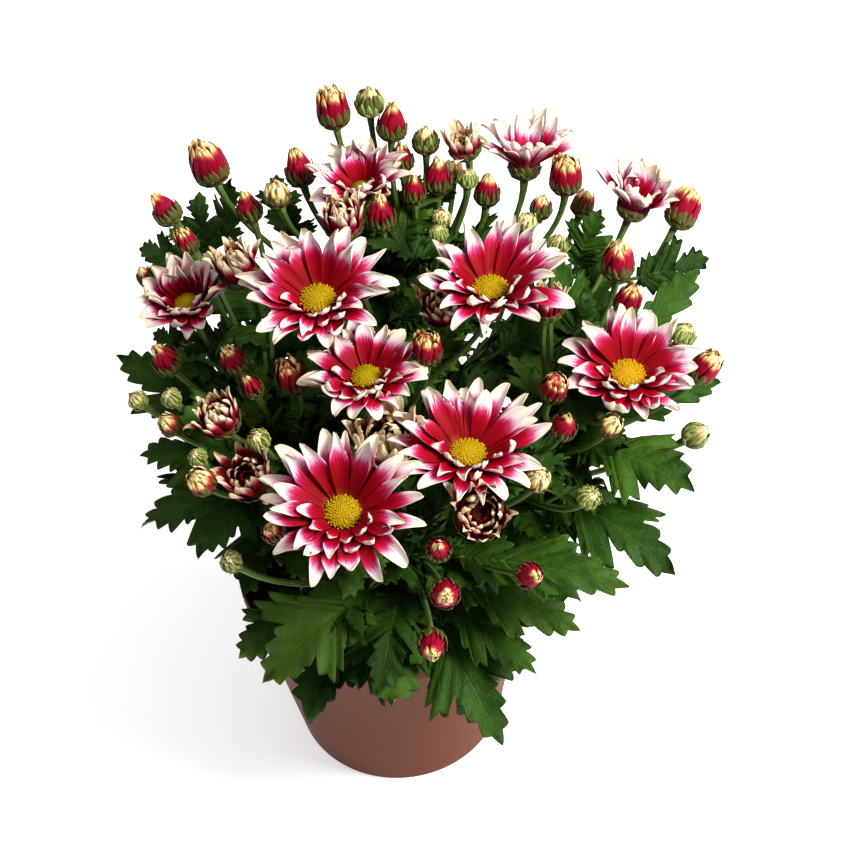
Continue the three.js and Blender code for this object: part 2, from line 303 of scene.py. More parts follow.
def rays(azimuth, root, lift, length, width, rise, curve, curl, hook, channel, pinch, roll, bend,
         blunt, ridge, peak=0.62, neck=0.4, thick=0.3 * MM, grain=(15, 7)):
    """Closed straps around the axis +Z, as points (rays, rows, ring, 3) and their spots.

    Along s from 0 to 1 the strap climbs at the angle rise + curve s + curl smooth(s), where
    smooth starts at 1 - hook, and its midline is the running sum of that direction. Across,
    from t = -1 to 1, it is an arc of half angle channel + pinch smooth(s), and ridge raises
    lengthwise folds. roll twists it about its midline, and bend swings it sideways. grain is
    how many points it has along and across.
    """
    azimuth, root, lift, length, width, rise, curve, curl, channel, pinch, roll, bend, blunt = columns(
        azimuth, root, lift, length, width, rise, curve, curl, channel, pinch, roll, bend, blunt)
    s = strap_rows(grain[0])
    angle = rise + curve * s + curl * smooth(s, 1 - hook, 1.05)
    step = np.diff(s, axis=1) * length
    middle = (angle[:, 1:] + angle[:, :-1]) / 2
    start = 0 * length
    out = root + np.concatenate([start, np.cumsum(step * np.cos(middle), 1)], 1)
    up = lift + np.concatenate([start, np.cumsum(step * np.sin(middle), 1)], 1)
    swing = bend * length * s**2

    half = (width / 2 * strap_outline(s, peak, neck, blunt))[..., None]
    arc = channel + pinch * smooth(s, 0.5, 1.0)
    arc = np.where(np.abs(arc) < 0.02, 0.02, arc)[..., None]
    turn = (roll * s**1.5)[..., None]
    t, face, full = strap_ring(grain[1])
    thickness = thick * full * (face - 0.5)
    folds = ridge * (np.cos(3.1 * np.pi * t) * full)[None, None, :] * np.sin(np.pi * s)[..., None] ** 0.5
    side = half * np.sin(arc * t) / arc - (thickness + folds) * np.sin(arc * t)
    height = half * (1 - np.cos(arc * t)) / arc + (thickness + folds) * np.cos(arc * t)
    sideways = side * np.cos(turn) - height * np.sin(turn) + swing[..., None]
    height = side * np.sin(turn) + height * np.cos(turn)

    radial = out[..., None] - height * np.sin(angle)[..., None]
    z = up[..., None] + height * np.cos(angle)[..., None]
    around = azimuth[..., None]
    x = radial * np.cos(around) - sideways * np.sin(around)
    y = radial * np.sin(around) + sideways * np.cos(around)
    return np.stack([x, y, z], -1), spots(s, t, face)


# %% [markdown]
# Wrapped rays and green scales hug what is inside them. They are laid on a turned body
# instead: the body is a function that gives a radius and a height at q, and a strap runs
# up it from one q to another. Near its tip it may stand away from the body.

# %% Straps on a body
def egg(girth, under, over):
    """A turned body with a pole at q = 0, its widest ring at q = 1 and a pole at q = 2.

    Its radius is girth sin(q pi / 2). Its height is under - under cos(q pi / 2) up to the
    widest ring, and under - over cos(q pi / 2) above that.
    """
    def body(q):
        turn = np.cos(np.pi / 2 * q)
        return girth * np.sin(np.pi / 2 * q), under - np.where(q < 1, under, over) * turn
    return body


def barrel(girth, foot, height, taper, power):
    """A turned body of radius girth (1 - (1 - taper) q^power) at the height foot + height q."""
    return lambda q: (girth * (1 - (1 - taper) * np.clip(q, 0, 1.2) ** power), foot + height * q)


def laid_on(body, azimuth, low, high, width, lean, shingle, flare, blunt, peak, neck, grain,
            proud=0.0, thick=0.3 * MM):
    """Closed straps on a turned body from q = low to high, as points and spots like rays().

    A strap's azimuth drifts by lean. It stands off the body by proud, one edge is raised and
    the other lowered by shingle, and flare carries the tip away after s = 0.6.
    """
    azimuth, low, high, width, lean, shingle, flare, proud, blunt = columns(
        azimuth, low, high, width, lean, shingle, flare, proud, blunt)
    s = strap_rows(grain[0])
    q = low + (high - low) * s
    radius, height = body(q)
    ahead, behind = body(q + 0.01), body(q - 0.01)
    normal = np.stack([ahead[1] - behind[1], behind[0] - ahead[0]])
    outward, upward = normal / np.linalg.norm(normal, axis=0)
    half = width / 2 * strap_outline(s, peak, neck, blunt)
    t, face, full = strap_ring(grain[1])
    off = thick * (1 - face) * full + (proud + flare * smooth(s, 0.6, 1.0))[..., None]
    off = off + shingle[..., None] * t
    girth = np.maximum(radius, 0.3 * radius.max())
    angle = (azimuth + lean * s)[..., None] + (half / girth)[..., None] * t
    out = np.maximum(radius[..., None] + off * outward[..., None], 0.02 * MM)
    z = height[..., None] + off * upward[..., None]
    return np.stack([out * np.cos(angle), out * np.sin(angle), z], -1), spots(s, t, face)


def stand(points, at, axis):
    """Turns a shape made about +Z to face along an axis, and moves its origin to a place."""
    level = unit(np.array([1.0, 0, 0]) - axis[0] * axis)
    turn = np.stack([level, np.cross(axis, level), axis], 1)
    return points @ turn.T + at


def about(rng, value, share, count):
    """count values within a share of a typical one."""
    return value * (1 + share * rng.uniform(-1, 1, count))


def whorl(rng, count, offset, uneven=0.25):
    """Azimuths of count rays spaced round a ring, each a little out of place."""
    return 2 * np.pi * (np.arange(count) + offset + uneven * rng.uniform(-1, 1, count)) / count

# %% [markdown]
# ## Writing a finish as sums
#
# A finish is a small network of nodes. Most of its nodes are arithmetic, so a socket is
# wrapped in a class whose `+`, `-`, `*` and `**` add the Math nodes. Every other node comes
# from one method, which sets the node up and then fills or links its sockets.

# %% Finish
def light_of(red, green, blue):
    """A colour given in the 0 to 255 steps of a paint chart, as light for the shader."""
    value = np.array([red, green, blue]) / 255
    return *np.where(value < 0.04045, value / 12.92, ((value + 0.055) / 1.055) ** 2.4).tolist(), 1.0


def maths(operation):
    """A method that adds a Math node, whose first input is the socket itself."""
    def method(self, *others):
        return self.finish.node("Math", {"operation": operation}, dict(enumerate([self, *others])))
    return method


class Socket:
    """A number, colour or vector on its way through a finish."""

    def __init__(self, finish, source):
        self.finish, self.source = finish, source

    __add__ = __radd__ = maths("ADD")
    __mul__ = __rmul__ = maths("MULTIPLY")
    __sub__, __pow__, __abs__ = maths("SUBTRACT"), maths("POWER"), maths("ABSOLUTE")
    wave, fraction, larger = maths("SINE"), maths("FRACT"), maths("MAXIMUM")

    def __rsub__(self, other):
        return self.finish.node("Math", {"operation": "SUBTRACT"}, {0: other, 1: self})

    def step(self, low, high):
        """0 below low, 1 above high and an even S between."""
        values = {"Value": self, "From Min": low, "From Max": high}
        return self.finish.node("MapRange", {"interpolation_type": "SMOOTHSTEP"}, values)


class Finish:
    """A material whose shader is a Principled BSDF."""

    def __init__(self, name, **uniform):
        self.material = bpy.data.materials.new(name)
        self.material.use_nodes = True
        self.tree = self.material.node_tree
        self.shader = self.tree.nodes["Principled BSDF"]
        for socket, value in uniform.items():
            self.shader.inputs[socket.replace("_", " ")].default_value = value

    def node(self, kind, settings=None, inputs=None, output=0):
        """Adds a node: its settings first, a ramp's stops among them, then its sockets."""
        made = self.tree.nodes.new(f"ShaderNode{kind}")
        for key, value in (settings or {}).items():
            if key == "stops":
                ramp = made.color_ramp
                for i, (place, *colour) in enumerate(value):
                    stop = ramp.elements[i] if i < 2 else ramp.elements.new(place)
                    stop.position, stop.color = place, light_of(*colour)
            else:
                setattr(made, key, value)
        for key, value in (inputs or {}).items():
            self.feed(made.inputs[key], value)
        return Socket(self, made.outputs[output])

    def feed(self, socket, value):
        if isinstance(value, Socket):
            self.tree.links.new(value.source, socket)
        else:
            socket.default_value = value

    def split(self, vector):
        return tuple(self.node("SeparateXYZ", inputs={0: vector}, output=i) for i in range(3))

    def spot(self):
        """Along, across, face and chance, as painted on every point by tubes()."""
        spot = self.node("Attribute", {"attribute_name": "spot"}, output=1)
        return *self.split(spot), self.node("Attribute", {"attribute_name": "chance"}, output=2)

    def place(self, x=None, y=None, z=None):
        """Object coordinates, or a vector put together from three numbers."""
        if x is None:
            return self.node("TexCoord", output=3)
        return self.node("CombineXYZ", inputs={0: x, 1: y, 2: z})

    def noise(self, vector, scale, detail=2.0, roughness=0.5):
        values = {"Vector": vector, "Scale": scale, "Detail": detail, "Roughness": roughness}
        return self.node("TexNoise", inputs=values)

    def ramp(self, share, *stops):
        return self.node("ValToRGB", {"stops": stops}, {0: share})

    def mix(self, share, first, second, blend="MIX"):
        settings = {"data_type": "RGBA", "blend_type": blend}
        colours = [c if isinstance(c, Socket) else light_of(*c) for c in (first, second)]
        return self.node("Mix", settings, {0: share, 6: colours[0], 7: colours[1]}, output=2)

    def wear(self, colour, height, depth, strength=0.5, **more):
        """Links what varies to the shader. height becomes a bump of a real depth."""
        bump = self.node("Bump", inputs={"Height": height, "Distance": depth, "Strength": strength})
        for socket, value in {"Base Color": colour, **more, "Normal": bump}.items():
            self.feed(self.shader.inputs[socket], value)
        return self.material

# %% [markdown]
# ## The colours of a ray
#
# On the upper face a ray is crimson, then magenta, and its last third is white. The white
# runs down both edges, and the border between the two is drawn out into fine streaks along
# the veins. The back of a ray is pale, with the crimson showing through. So both faces are
# a ramp read at how far along a point is, shifted by how near it is to an edge and by a
# noise that is stretched along the ray.

# %% Ray finishes
def ray_finish(name, face_stops, back_stops, edge, streaks, shine):
    made = Finish(name, Roughness=0.6, Specular_IOR_Level=shine)
    along, across, face, chance = made.spot()
    face = face.step(0.85, 1.0)
    fine = made.noise(made.place(along * 1.3, across * 3.0, chance * 40), 4.0, 3.0, 0.6)
    broad = made.noise(made.place(along * 2.0, across * 0.8, chance * 90), 2.0)
    share = along * (1 + edge * abs(across) ** 2.5) + streaks * (fine - 0.5) + 0.12 * (broad - 0.5)
    share = share + 0.14 * (chance - 0.5)
    colour = made.mix(face, made.ramp(share, *back_stops), made.ramp(share, *face_stops))
    # Painted shade: the colour is a little darker where the bump is low, in the grooves between the veins
    # and in the dips of the fine noise.
    veins = (across * 19 + 0.6 * broad).wave() * 0.5 + 0.5
    shade = 0.90 + 0.08 * veins + 0.2 * (fine - 0.5)
    colour = made.mix(1.0, colour, made.place(shade, shade, shade), "MULTIPLY")
    return made.wear(colour, veins * 0.6 + fine * 0.8, depth=0.14 * MM, strength=0.6)


SNOW, CREAM, STRAW = (234, 218, 216), (240, 224, 196), (240, 208, 128)
petal_finish = ray_finish(
    "two-tone ray",
    [(0.0, 150, 60, 30), (0.10, 134, 2, 17), (0.44, 149, 0, 25),
     (0.56, 172, 8, 54), (0.65, 194, 66, 116), (0.72, 224, 170, 188), (0.80, *SNOW),
     (1.0, *CREAM)],
    [(0.0, 176, 160, 110), (0.2, 160, 40, 66), (0.5, 176, 50, 92),
     (0.66, 222, 150, 176), (0.8, 242, 224, 220), (1.0, *CREAM)],
    edge=0.18, streaks=0.30, shine=0.16)
# The curled ray's upper face starts nearly black: painted shade deep in a half-open head, on the bases of
# the rays and on the bowl in the middle.
curled_finish = ray_finish(
    "curled ray",
    [(0.0, 26, 6, 8), (0.3, 104, 4, 20), (0.58, 140, 6, 34),
     (0.66, 200, 90, 90), (0.73, 242, 206, 170), (0.85, 246, 226, 186), (1.0, *CREAM)],
    [(0.0, 96, 84, 40), (0.12, 128, 14, 36), (0.45, 146, 4, 38),
     (0.66, 160, 14, 54), (0.75, 212, 112, 128), (0.84, 244, 220, 196),
     (0.92, 244, 228, 200), (1.0, 244, 222, 168)],
    edge=0.13, streaks=0.24, shine=0.16)
bud_finish = ray_finish(
    "wrapped ray",
    [(0.0, 90, 4, 20), (0.6, 120, 4, 30), (0.85, *STRAW), (1.0, *STRAW)],
    [(0.0, 110, 60, 40), (0.10, 136, 8, 36), (0.45, 156, 4, 46),
     (0.70, 154, 6, 46), (0.80, 206, 90, 84), (0.87, 248, 214, 134),
     (1.0, 248, 232, 186)],
    edge=0.08, streaks=0.26, shine=0.2)
print("ray finishes ready")

# %% [markdown]
# ## Green parts and the disc
#
# The scales of a cup have a green back that browns towards the tip, with pale dry edges. A
# stem is ribbed along its length. A leaf is painted by its own veins: each line of `along`
# is a vein line that runs from the middle of the leaf out to its edge. There are twelve
# teeth to a side, and each has a faint vein. The third and the seventh are the tips of the
# two side lobes, and their veins are nearly as strong as the middle one.

# %% Green finishes
def scale_finish():
    made = Finish("cup scale", Roughness=0.6, Specular_IOR_Level=0.3)
    along, across, _, chance = made.spot()
    fine = made.noise(made.place(along * 2, across * 5, chance * 50), 4.0, 3.0)
    share = along + 0.7 * (fine - 0.5)
    old = made.ramp(share, (0.0, 56, 80, 22), (0.55, 82, 102, 38),
                    (0.85, 94, 92, 42), (1.0, 104, 62, 44))
    young = made.ramp(share, (0.0, 82, 108, 38), (0.5, 130, 150, 74), (1.0, 176, 180, 112))
    colour = made.mix(chance.step(0.3, 0.5), young, old)
    edge = abs(across).step(0.55, 1.0)
    colour = made.mix(edge * 0.3, colour, (160, 168, 112))
    rib = (across * 12).wave()
    return made.wear(colour, rib * 0.4 + fine, depth=0.12 * MM)


def disc_finish():
    made = Finish("disc floret", Roughness=0.65, Specular_IOR_Level=0.25)
    along, _, _, chance = made.spot()
    fine = made.noise(made.place(), 1500.0, 2.0)
    colour = made.ramp(along * 0.5 + chance * 0.7 + 0.3 * (fine - 0.5),
                       (0.0, 112, 126, 4), (0.45, 158, 142, 2), (1.0, 196, 150, 0))
    return made.wear(colour, fine, depth=0.15 * MM)


def stem_finish():
    made = Finish("ribbed stem", Roughness=0.55, Specular_IOR_Level=0.3)
    along, across, _, chance = made.spot()
    fine = made.noise(made.place(along * 14, across * 4, chance * 30), 3.0, 3.0)
    colour = made.ramp(fine, (0.25, 66, 92, 36), (0.55, 96, 122, 56), (0.8, 128, 134, 82))
    rib = (across * 18).wave()
    return made.wear(colour, rib + fine, depth=0.2 * MM, strength=0.6)


TEETH = 12


def leaf_finish():
    made = Finish("leaf", Specular_IOR_Level=0.3)
    along, across, face, chance = made.spot()
    face = face.step(0.85, 1.0)
    width = abs(across)
    middle_vein = 1 - width.step(0.015, 0.07)
    lobe_vein = (1 - abs(abs(along * TEETH - 5) - 2).step(0.03, 0.16)) * (1 - width.step(0.6, 1.0))
    away = abs((along * TEETH + 0.5).fraction() - 0.5)
    tooth_vein = (1 - away.step(0.02, 0.12)) * width.step(0.1, 0.4) * (1 - width.step(0.6, 0.95))
    vein = middle_vein.larger(lobe_vein * 0.8).larger(tooth_vein * 0.3)
    net = made.node("TexVoronoi", {"feature": "DISTANCE_TO_EDGE"},
                    {"Vector": made.place(along * 30, across * 9, chance * 20), "Scale": 1.0})
    net = 1 - net.step(0.0, 0.14)
    broad, patch = made.noise(made.place(), 45.0, 3.0), made.noise(made.place(), 260.0, 3.0, 0.6)
    colour = made.ramp(0.7 * broad + 0.5 * patch - 0.1 + 0.5 * (chance - 0.5), (0.2, 32, 60, 8),
                       (0.5, 50, 86, 14), (0.85, 80, 112, 32))
    colour = made.mix(vein * 0.22 + net * 0.05, colour, (112, 144, 58))
    colour = made.mix(face, made.mix(0.5, colour, (96, 122, 74)), colour)
    rough = 0.48 + 0.24 * broad
    relief = net * -0.3 - vein + broad + patch * 1.6
    return made.wear(colour, relief, depth=0.4 * MM, strength=0.8, Roughness=rough)


petal_disc, cup_green, stem_green, leaf_green = disc_finish(), scale_finish(), stem_finish(), leaf_finish()
print("green finishes ready")

# %% [markdown]
# ## Open flowers
#
# An open flower is a disc of tight yellow florets with rays around it. The outer row of
# rays lies lower and reaches the full width, and the inner row stands steeper and is
# shorter. On the near side a few short ones stand in front of the disc as well, and many
# rays there curl up and show their pale backs. Underneath, a green cup of overlapping
# scales joins the flower to its stem.

# %% Turned bodies and discs
def turned(profile, ring=24, share=None):
    """A profile of (radius, height) carried once around +Z, as a batch of one tube."""
    profile = np.array(profile, float)
    angle = -2 * np.pi * np.arange(ring) / ring
    radius, height = profile[:, :1], profile[:, 1:]
    points = np.stack([radius * np.cos(angle), radius * np.sin(angle), height + 0 * angle], -1)
    along = np.linspace(0, 1, len(profile)) if share is None else share + 0 * profile[:, 0]
    return points[None], spots(along, 0 * angle, 0)[None]


def profile_of(body, low, high, scale=1.0, count=7):
    """Points of a turned body's profile from q = low to high, a little inside the body."""
    radius, height = body(np.linspace(low, high, count))
    return np.stack([np.maximum(scale * radius, 0.1 * MM), height], 1)


GOLDEN_ANGLE = np.pi * (3 - np.sqrt(5))


def disc_florets(rng, radius, dome, count=180, ring=5):
    """Small blunt buds on a golden-angle spiral, larger and more open towards the edge.

    Floret i sits at radius sqrt(i / count) and turns by the golden angle. It stands on a
    dome that falls with the square of the radius, and leans out as far as the dome does.
    """
    share = 0.98 * np.sqrt((np.arange(count) + 0.5) / count)
    angle = GOLDEN_ANGLE * np.arange(count) + 0.1 * rng.uniform(-1, 1, count)
    out = np.stack([np.cos(angle), np.sin(angle), 0 * angle], 1)
    lean = unit(out * 0.7 * share[:, None] + UP)
    level = np.cross(lean, np.stack([-out[:, 1], out[:, 0], out[:, 2]], 1))
    side = np.cross(lean, level)
    foot = out * radius * share[:, None] + UP * (dome * (1 - share**2) - 0.2 * MM)[:, None]
    around = -2 * np.pi * np.arange(ring) / ring
    size = radius * (0.045 + 0.018 * share) * (1 + 0.15 * rng.uniform(-1, 1, count))
    girth = size[:, None] * np.array([0.9, 1.0, 0.5])
    height = size[:, None] * np.array([-0.8, 0.7, 1.4]) * (0.8 + 0.5 * share[:, None])
    spoke = level[:, None] * np.cos(around)[:, None] + side[:, None] * np.sin(around)[:, None]
    points = foot[:, None, None] + lean[:, None, None] * height[..., None, None]
    points = points + spoke[:, None] * girth[..., None, None]
    return points, share[:, None, None, None] * [1, 0, 0]


def cup(rng, girth, under, reach, rows=(14, 12, 9), over=None, age=1.0, grain=(5, 5)):
    """The green cup below a head: rows of pointed scales on the lower part of an egg.

    The inner row of scales gets to q = reach on the egg. Each row below it starts and ends
    lower, and stands a little further out. The chance of a scale also tells its finish
    whether it is young and pale, or old and browning.
    """
    body = egg(girth, under, over or under)
    batches = [(*turned(profile_of(body, 0.12, min(reach, 1.0) * 0.93, 0.96, 5), 16), 0.5)]
    for i, count in enumerate(rows):
        high = (0.30 + (reach - 0.30) * (1 - 0.30 * i)) * (1 + 0.08 * rng.uniform(-1, 1, count))
        batches.append((
            *laid_on(body, whorl(rng, count, 0.5 * i), 0.40 - 0.14 * i, high,
                     about(rng, 2 * np.pi * girth / count * 1.35, 0.12, count),
                     lean=rng.uniform(-0.1, 0.1, count), shingle=0.12 * MM,
                     flare=rng.uniform(-0.2, 0.35, count) * MM, proud=(0.05 + 0.20 * i) * MM,
                     blunt=1.6, peak=0.4, neck=0.75, thick=0.35 * MM, grain=grain),
            np.clip(age, 0, 0.6) + rng.uniform(0, 0.4, count)))
    return batches


# %% Flowers
CUP_GIRTH, CUP_DEPTH = 7.4 * MM, 7.0 * MM
DISC_RADIUS, DISC_DOME = 7.4 * MM, 2.2 * MM
RAY_ROOT, RAY_SINK, RAY_WIDTH = 6.4 * MM, 1.3 * MM, 8.9 * MM
SKIN = 0.8 * MM
FLOWER_ROWS = (  # rays, share of the reach, degrees steeper, first azimuth, odds of curling
    (17, 1.06, 4, 0.0, 0.35), (15, 0.94, 17, 0.5, 0.75), (6, 0.5, 34, 0.2, 0.8))
FULLY_OPEN = (1.0, 8, -8, 0.18)
OPENING = {"flower_03": (0.85, 8, -8, 0.18), "flower_07": (0.75, 24, -14, 0.06),
           "flower_08": (0.55, 22, 6, 0.36), "flower_09": (0.6, 24, 26, 0.46),
           "flower_10": (0.6, 24, 22, 0.42)}
# Painted light, in part: a share above 0 paints more of each ray pale, and for heads that lie in the shade
# of their neighbours it stands in for light. A share below 0 paints more of the ray crimson.
PALER = {"flower_05": -0.04, "flower_06": -0.06, "flower_09": 0.1, "flower_10": 0.08,
         "half_open_flower_01": 0.22, "half_open_flower_04": 0.48, "half_open_flower_09": 0.4}
LOPSIDED = {"flower_02": 0.12}
NEAR_SIDE = -np.pi / 2


def standing(batches, at, axis):
    """Batches made about +Z, as tubes that stand at a place and face along an axis."""
    return [tubes(stand(points, at, axis), spot, chance) for points, spot, chance in batches]


def paler(spot, share):
    """Spots that start at a share of the way along instead of 0, so more of the ray is pale."""
    return spot * [1 - share, 1, 1] + [share, 0, 0]


def open_flower(head, seed):
    """Two rows of rays, a few short curled ones, the disc and the cup of an open flower.

    OPENING tells how large its disc is already, how many degrees steeper than usual the
    rays of the far and of the near side are, and what share shorter the near ones are.
    """
    rng = np.random.default_rng(seed)
    node = head.node
    opened, far_rise, near_rise, cut_back = OPENING.get(node, FULLY_OPEN)
    climb = head.top - CUP_DEPTH - SKIN
    rise = np.arctan2(climb, head.radius)
    reach = np.hypot(climb, head.radius)
    batches = []
    for row, (count, share, steeper, first, odds) in enumerate(FLOWER_ROWS):
        azimuth = whorl(rng, count, first, 0.3)
        if row == 2:
            azimuth = NEAR_SIDE + 0.5 * (azimuth - np.pi)
        facing = np.cos(azimuth - NEAR_SIDE)
        near = np.clip(facing, 0, 1)
        curled = rng.uniform(0, 1, count) < 0.03 + odds * near
        curl = np.radians(np.where(curled, rng.uniform(50, 150, count), rng.uniform(-35, 30, count)))
        shorter = (cut_back, max(cut_back, 0.36), 0.2)[row] * near
        share = share * (1 - shorter) * (1 + LOPSIDED.get(node, 0.0) * np.cos(azimuth))
        tilt = np.where(facing > 0, near_rise * facing, -far_rise * facing)
        points, spot = rays(
            azimuth, root=opened * RAY_ROOT, lift=-RAY_SINK,
            length=about(rng, share * (reach - RAY_ROOT), 0.1, count),
            width=about(rng, RAY_WIDTH * (0.45 + 0.55 * share), 0.16, count),
            rise=rise + np.radians(steeper + tilt + rng.uniform(-7, 8, count)),
            curve=np.radians(about(rng, -12, 1.4, count)), curl=curl, hook=0.4,
            channel=about(rng, 0.5, 0.6, count), pinch=rng.uniform(0.2, 2.2, count),
            roll=np.radians(rng.normal(0, 24, count)), bend=rng.normal(0, 0.09, count),
            blunt=rng.uniform(1.15, 2.5, count), ridge=0.24 * MM)
        batches.append((points, paler(spot, PALER.get(node, 0.0)), rng.uniform(0, 1, count)))
    at = head.seat + CUP_DEPTH * head.axis
    piece(f"{node}_rays", standing(batches, at, head.axis), petal_finish, [node])
    dome, disc = DISC_DOME, opened * DISC_RADIUS
    base = turned([(0.6 * disc, -0.6 * MM), (0.95 * disc, 0.3 * MM), (0.7 * disc, 0.5 * dome),
                   (0.35 * disc, 0.86 * dome), (0.1 * disc, 0.95 * dome)])
    ripe = rng.uniform(0.5, 0.9) - 1.5 * (1 - opened)
    florets = [(*base, ripe), (*disc_florets(rng, disc, dome), ripe)]
    piece(f"{node}_disc", standing(florets, at, head.axis), petal_disc, [node])
    under = cup(rng, CUP_GIRTH, CUP_DEPTH, 0.98)
    piece(f"{node}_cup", standing(under, head.seat, head.axis), cup_green, [node])


for seed, head in enumerate(flowers, 100):
    open_flower(head, seed)
so_far("open flowers")

# %% [markdown]
# ## Half-open flowers
#
# A head that is only half open is a deep bowl of narrow rays. They come up out of the cup,
# and their cream tips hook inwards over a hollow. The rows inside are shorter and
# hook more. A few rays of the outer row have already fallen open. The dark of the hollow
# is painted shade: the bowl in its middle and the bases of the rays are painted nearly
# black. In the hollow heads the inner row is also painted darker, with less of its pale
# tip: partly its own crimson, partly painted shade.

# %% Half-open flowers
BOWL_ROWS = (  # rays, root and length in girths, degrees of rise, least and most degrees of curl
    (13, 0.60, 1.62, 60, -60, 30), (12, 0.58, 1.52, 70, -20, 80),
    (11, 0.50, 1.26, 76, 20, 120), (8, 0.30, 1.22, 80, -10, 40))
HOLLOW_HEADS = ("half_open_flower_05", "half_open_flower_07", "half_open_flower_09")
# The share of its colours that the inner row of a hollow head keeps, so it is painted darker with less of
# its pale tip: partly its own crimson, partly painted shade in the hollow.
PAINTED_HOLLOW_SHADE = 0.55
GROWN = {"half_open_flower_04": 1.15}


def half_open_flower(head, seed):
    """Rows of rays in a bowl. Some heads have a hollow, darkened by painted shade, and the rest a tuft of
    tips in it.
    """
    rng = np.random.default_rng(seed)
    node = head.node
    girth = head.radius * GROWN.get(node, 1.0)
    hollow = node in HOLLOW_HEADS
    deep = 0.25 if hollow else 0.0
    bowl = turned([(0.1 * girth, 0.2 * girth), (0.5 * girth, 0.3 * girth), (0.6 * girth, 0.6 * girth),
                   (0.3 * girth, (0.7 - deep) * girth), (0.1 * girth, (0.66 - deep) * girth)], share=0.0)
    # The bowl takes the first stop of the upper face, nearly black: painted shade in the middle of the head.
    bowl[1][..., 2] = 1
    batches = [(*bowl, 0.1)]
    for row, (count, root, length, rise, low, high) in enumerate(BOWL_ROWS):
        length = length * (1 - 0.2 * row) if hollow else length
        fallen = (rng.uniform(0, 1, count) < (0.25 if hollow else 0.10)) & (row == 0)
        points, spot = rays(
            whorl(rng, count, 0.5 * row, 0.4), root=root * girth, lift=(0.3 + 0.06 * row) * girth,
            length=about(rng, length * girth, 0.12, count) * (1 - 0.3 * fallen),
            width=about(rng, 0.43 * girth, 0.2, count),
            rise=np.radians(rise - 26 * fallen + rng.uniform(-6, 6, count)),
            curve=np.radians(36 - 44 * fallen), curl=np.radians(rng.uniform(low, high, count)), hook=0.3,
            channel=about(rng, 0.8, 0.4, count), pinch=rng.uniform(0.2, 1.6, count),
            roll=np.radians(rng.normal(0, 20, count)), bend=rng.normal(0, 0.08, count),
            blunt=rng.uniform(1.2, 2.2, count), ridge=0.14 * MM, grain=(13, 5))
        # Painted shade: the inner row of a hollow head is darkened by keeping less of its pale tip.
        if hollow and row == 3:
            spot = spot * [PAINTED_HOLLOW_SHADE, 1, 1]
        batches.append((points, paler(spot, PALER.get(node, 0.1)), rng.uniform(0, 1, count)))
    at = (head.seat, head.axis)
    piece(f"{node}_rays", standing(batches, *at), curled_finish, [node])
    under = cup(rng, 0.90 * girth, 0.66 * girth, 1.04)
    piece(f"{node}_cup", standing(under, *at), cup_green, [node])


for seed, head in enumerate(half_open, 200):
    half_open_flower(head, seed)
so_far("half-open flowers")

# %% [markdown]
# ## Buds
#
# In a bud the rays still stand upright, wrapped round each other with a slight twist, and
# only their ragged straw-coloured tips part. Some buds are nearly cylindrical and some
# close to a cone. The ribbed green cup covers the lower half, and on the youngest buds
# nearly all of it. The imported model holds thirteen buds; the others are too many to be
# nodes, so their places are given here.

# %% Buds
GREEN_BUDS = ("bud_04", "bud_10")
BLUNT_BUDS = ("bud_01", "bud_03", "bud_06", "bud_07", "bud_08", "bud_09")


def bud_batches(rng, girth, tall, age, pointed, small=False):
    """Rays and cup of a closed bud of a given girth. age goes from 0, green, to 1, showing.

    Of a young bud only the pale tips of the rays are to be seen, so the along of their
    spots starts at shown instead of 0.
    """
    taper, power = (rng.uniform(0.15, 0.35), 1.6) if pointed else (rng.uniform(0.5, 0.8), 3.4)
    foot = 0.45 * girth
    inside = barrel(0.80 * girth, foot, 0.92 * (tall - foot), 0.7 * taper, power)
    shown = 0.84 * (1 - smooth(age, 0.2, 0.9)) - 0.1
    core = np.clip(0.4 + 1.2 * shown + np.linspace(-0.1, 0.45, 7) ** 3 * 6, 0.3, 1)
    wraps = [(*turned(profile_of(inside, 0, 1.0, 0.92), 12, share=core), 0.3)]
    rows = ((12, 0.90, 1.0), (9, 0.72, 1.04), (6, 0.44, 1.03))
    if not small:
        rows = ((16, 0.90, 1.0), (12, 0.78, 1.05), (9, 0.58, 1.06), (6, 0.34, 1.05))
    for row, (count, share, reach) in enumerate(rows):
        body = barrel(share * girth, foot, tall - foot, taper * (1 - 0.2 * row), power)
        points, spot = laid_on(
            body, whorl(rng, count, 0.5 * row, 0.3), 0.0, about(rng, reach, 0.05, count),
            about(rng, 2 * np.pi * share * girth / count * 1.3, 0.15, count),
            lean=about(rng, 0.32, 0.7, count), shingle=0.035 * girth,
            flare=rng.uniform(-0.26, 0.12, count) * girth, blunt=rng.uniform(1.1, 2.4, count),
            peak=0.5, neck=0.9, grain=(7, 3) if small else (9, 5))
        wraps.append((points, paler(spot, shown), rng.uniform(0, 1, count)))
    under = (0.9 - 0.1 * age) * girth
    over = 0.92 * (tall - under)
    green = cup(rng, 0.93 * girth, under, 1.72 - 0.50 * age, (16, 13, 10), over=over, age=age,
                grain=(4, 3) if small else (5, 5))
    return wraps, green


def bud_pieces(name, placed, nodes=()):
    """Joins the buds of a list of (seat, axis, girth, height, age, seed) into two pieces."""
    wraps, greens = [], []
    for seat, axis, girth, tall, age, seed in placed:
        rng = np.random.default_rng(seed)
        pointed = name not in BLUNT_BUDS if nodes else rng.uniform(0, 1) < 0.6
        rays_of, green_of = bud_batches(rng, girth, tall, age, pointed, small=not nodes)
        wraps += standing(rays_of, seat, axis)
        greens += standing(green_of, seat, axis)
    piece(f"{name}_rays", wraps, bud_finish, nodes)
    piece(f"{name}_cup", greens, cup_green, nodes)


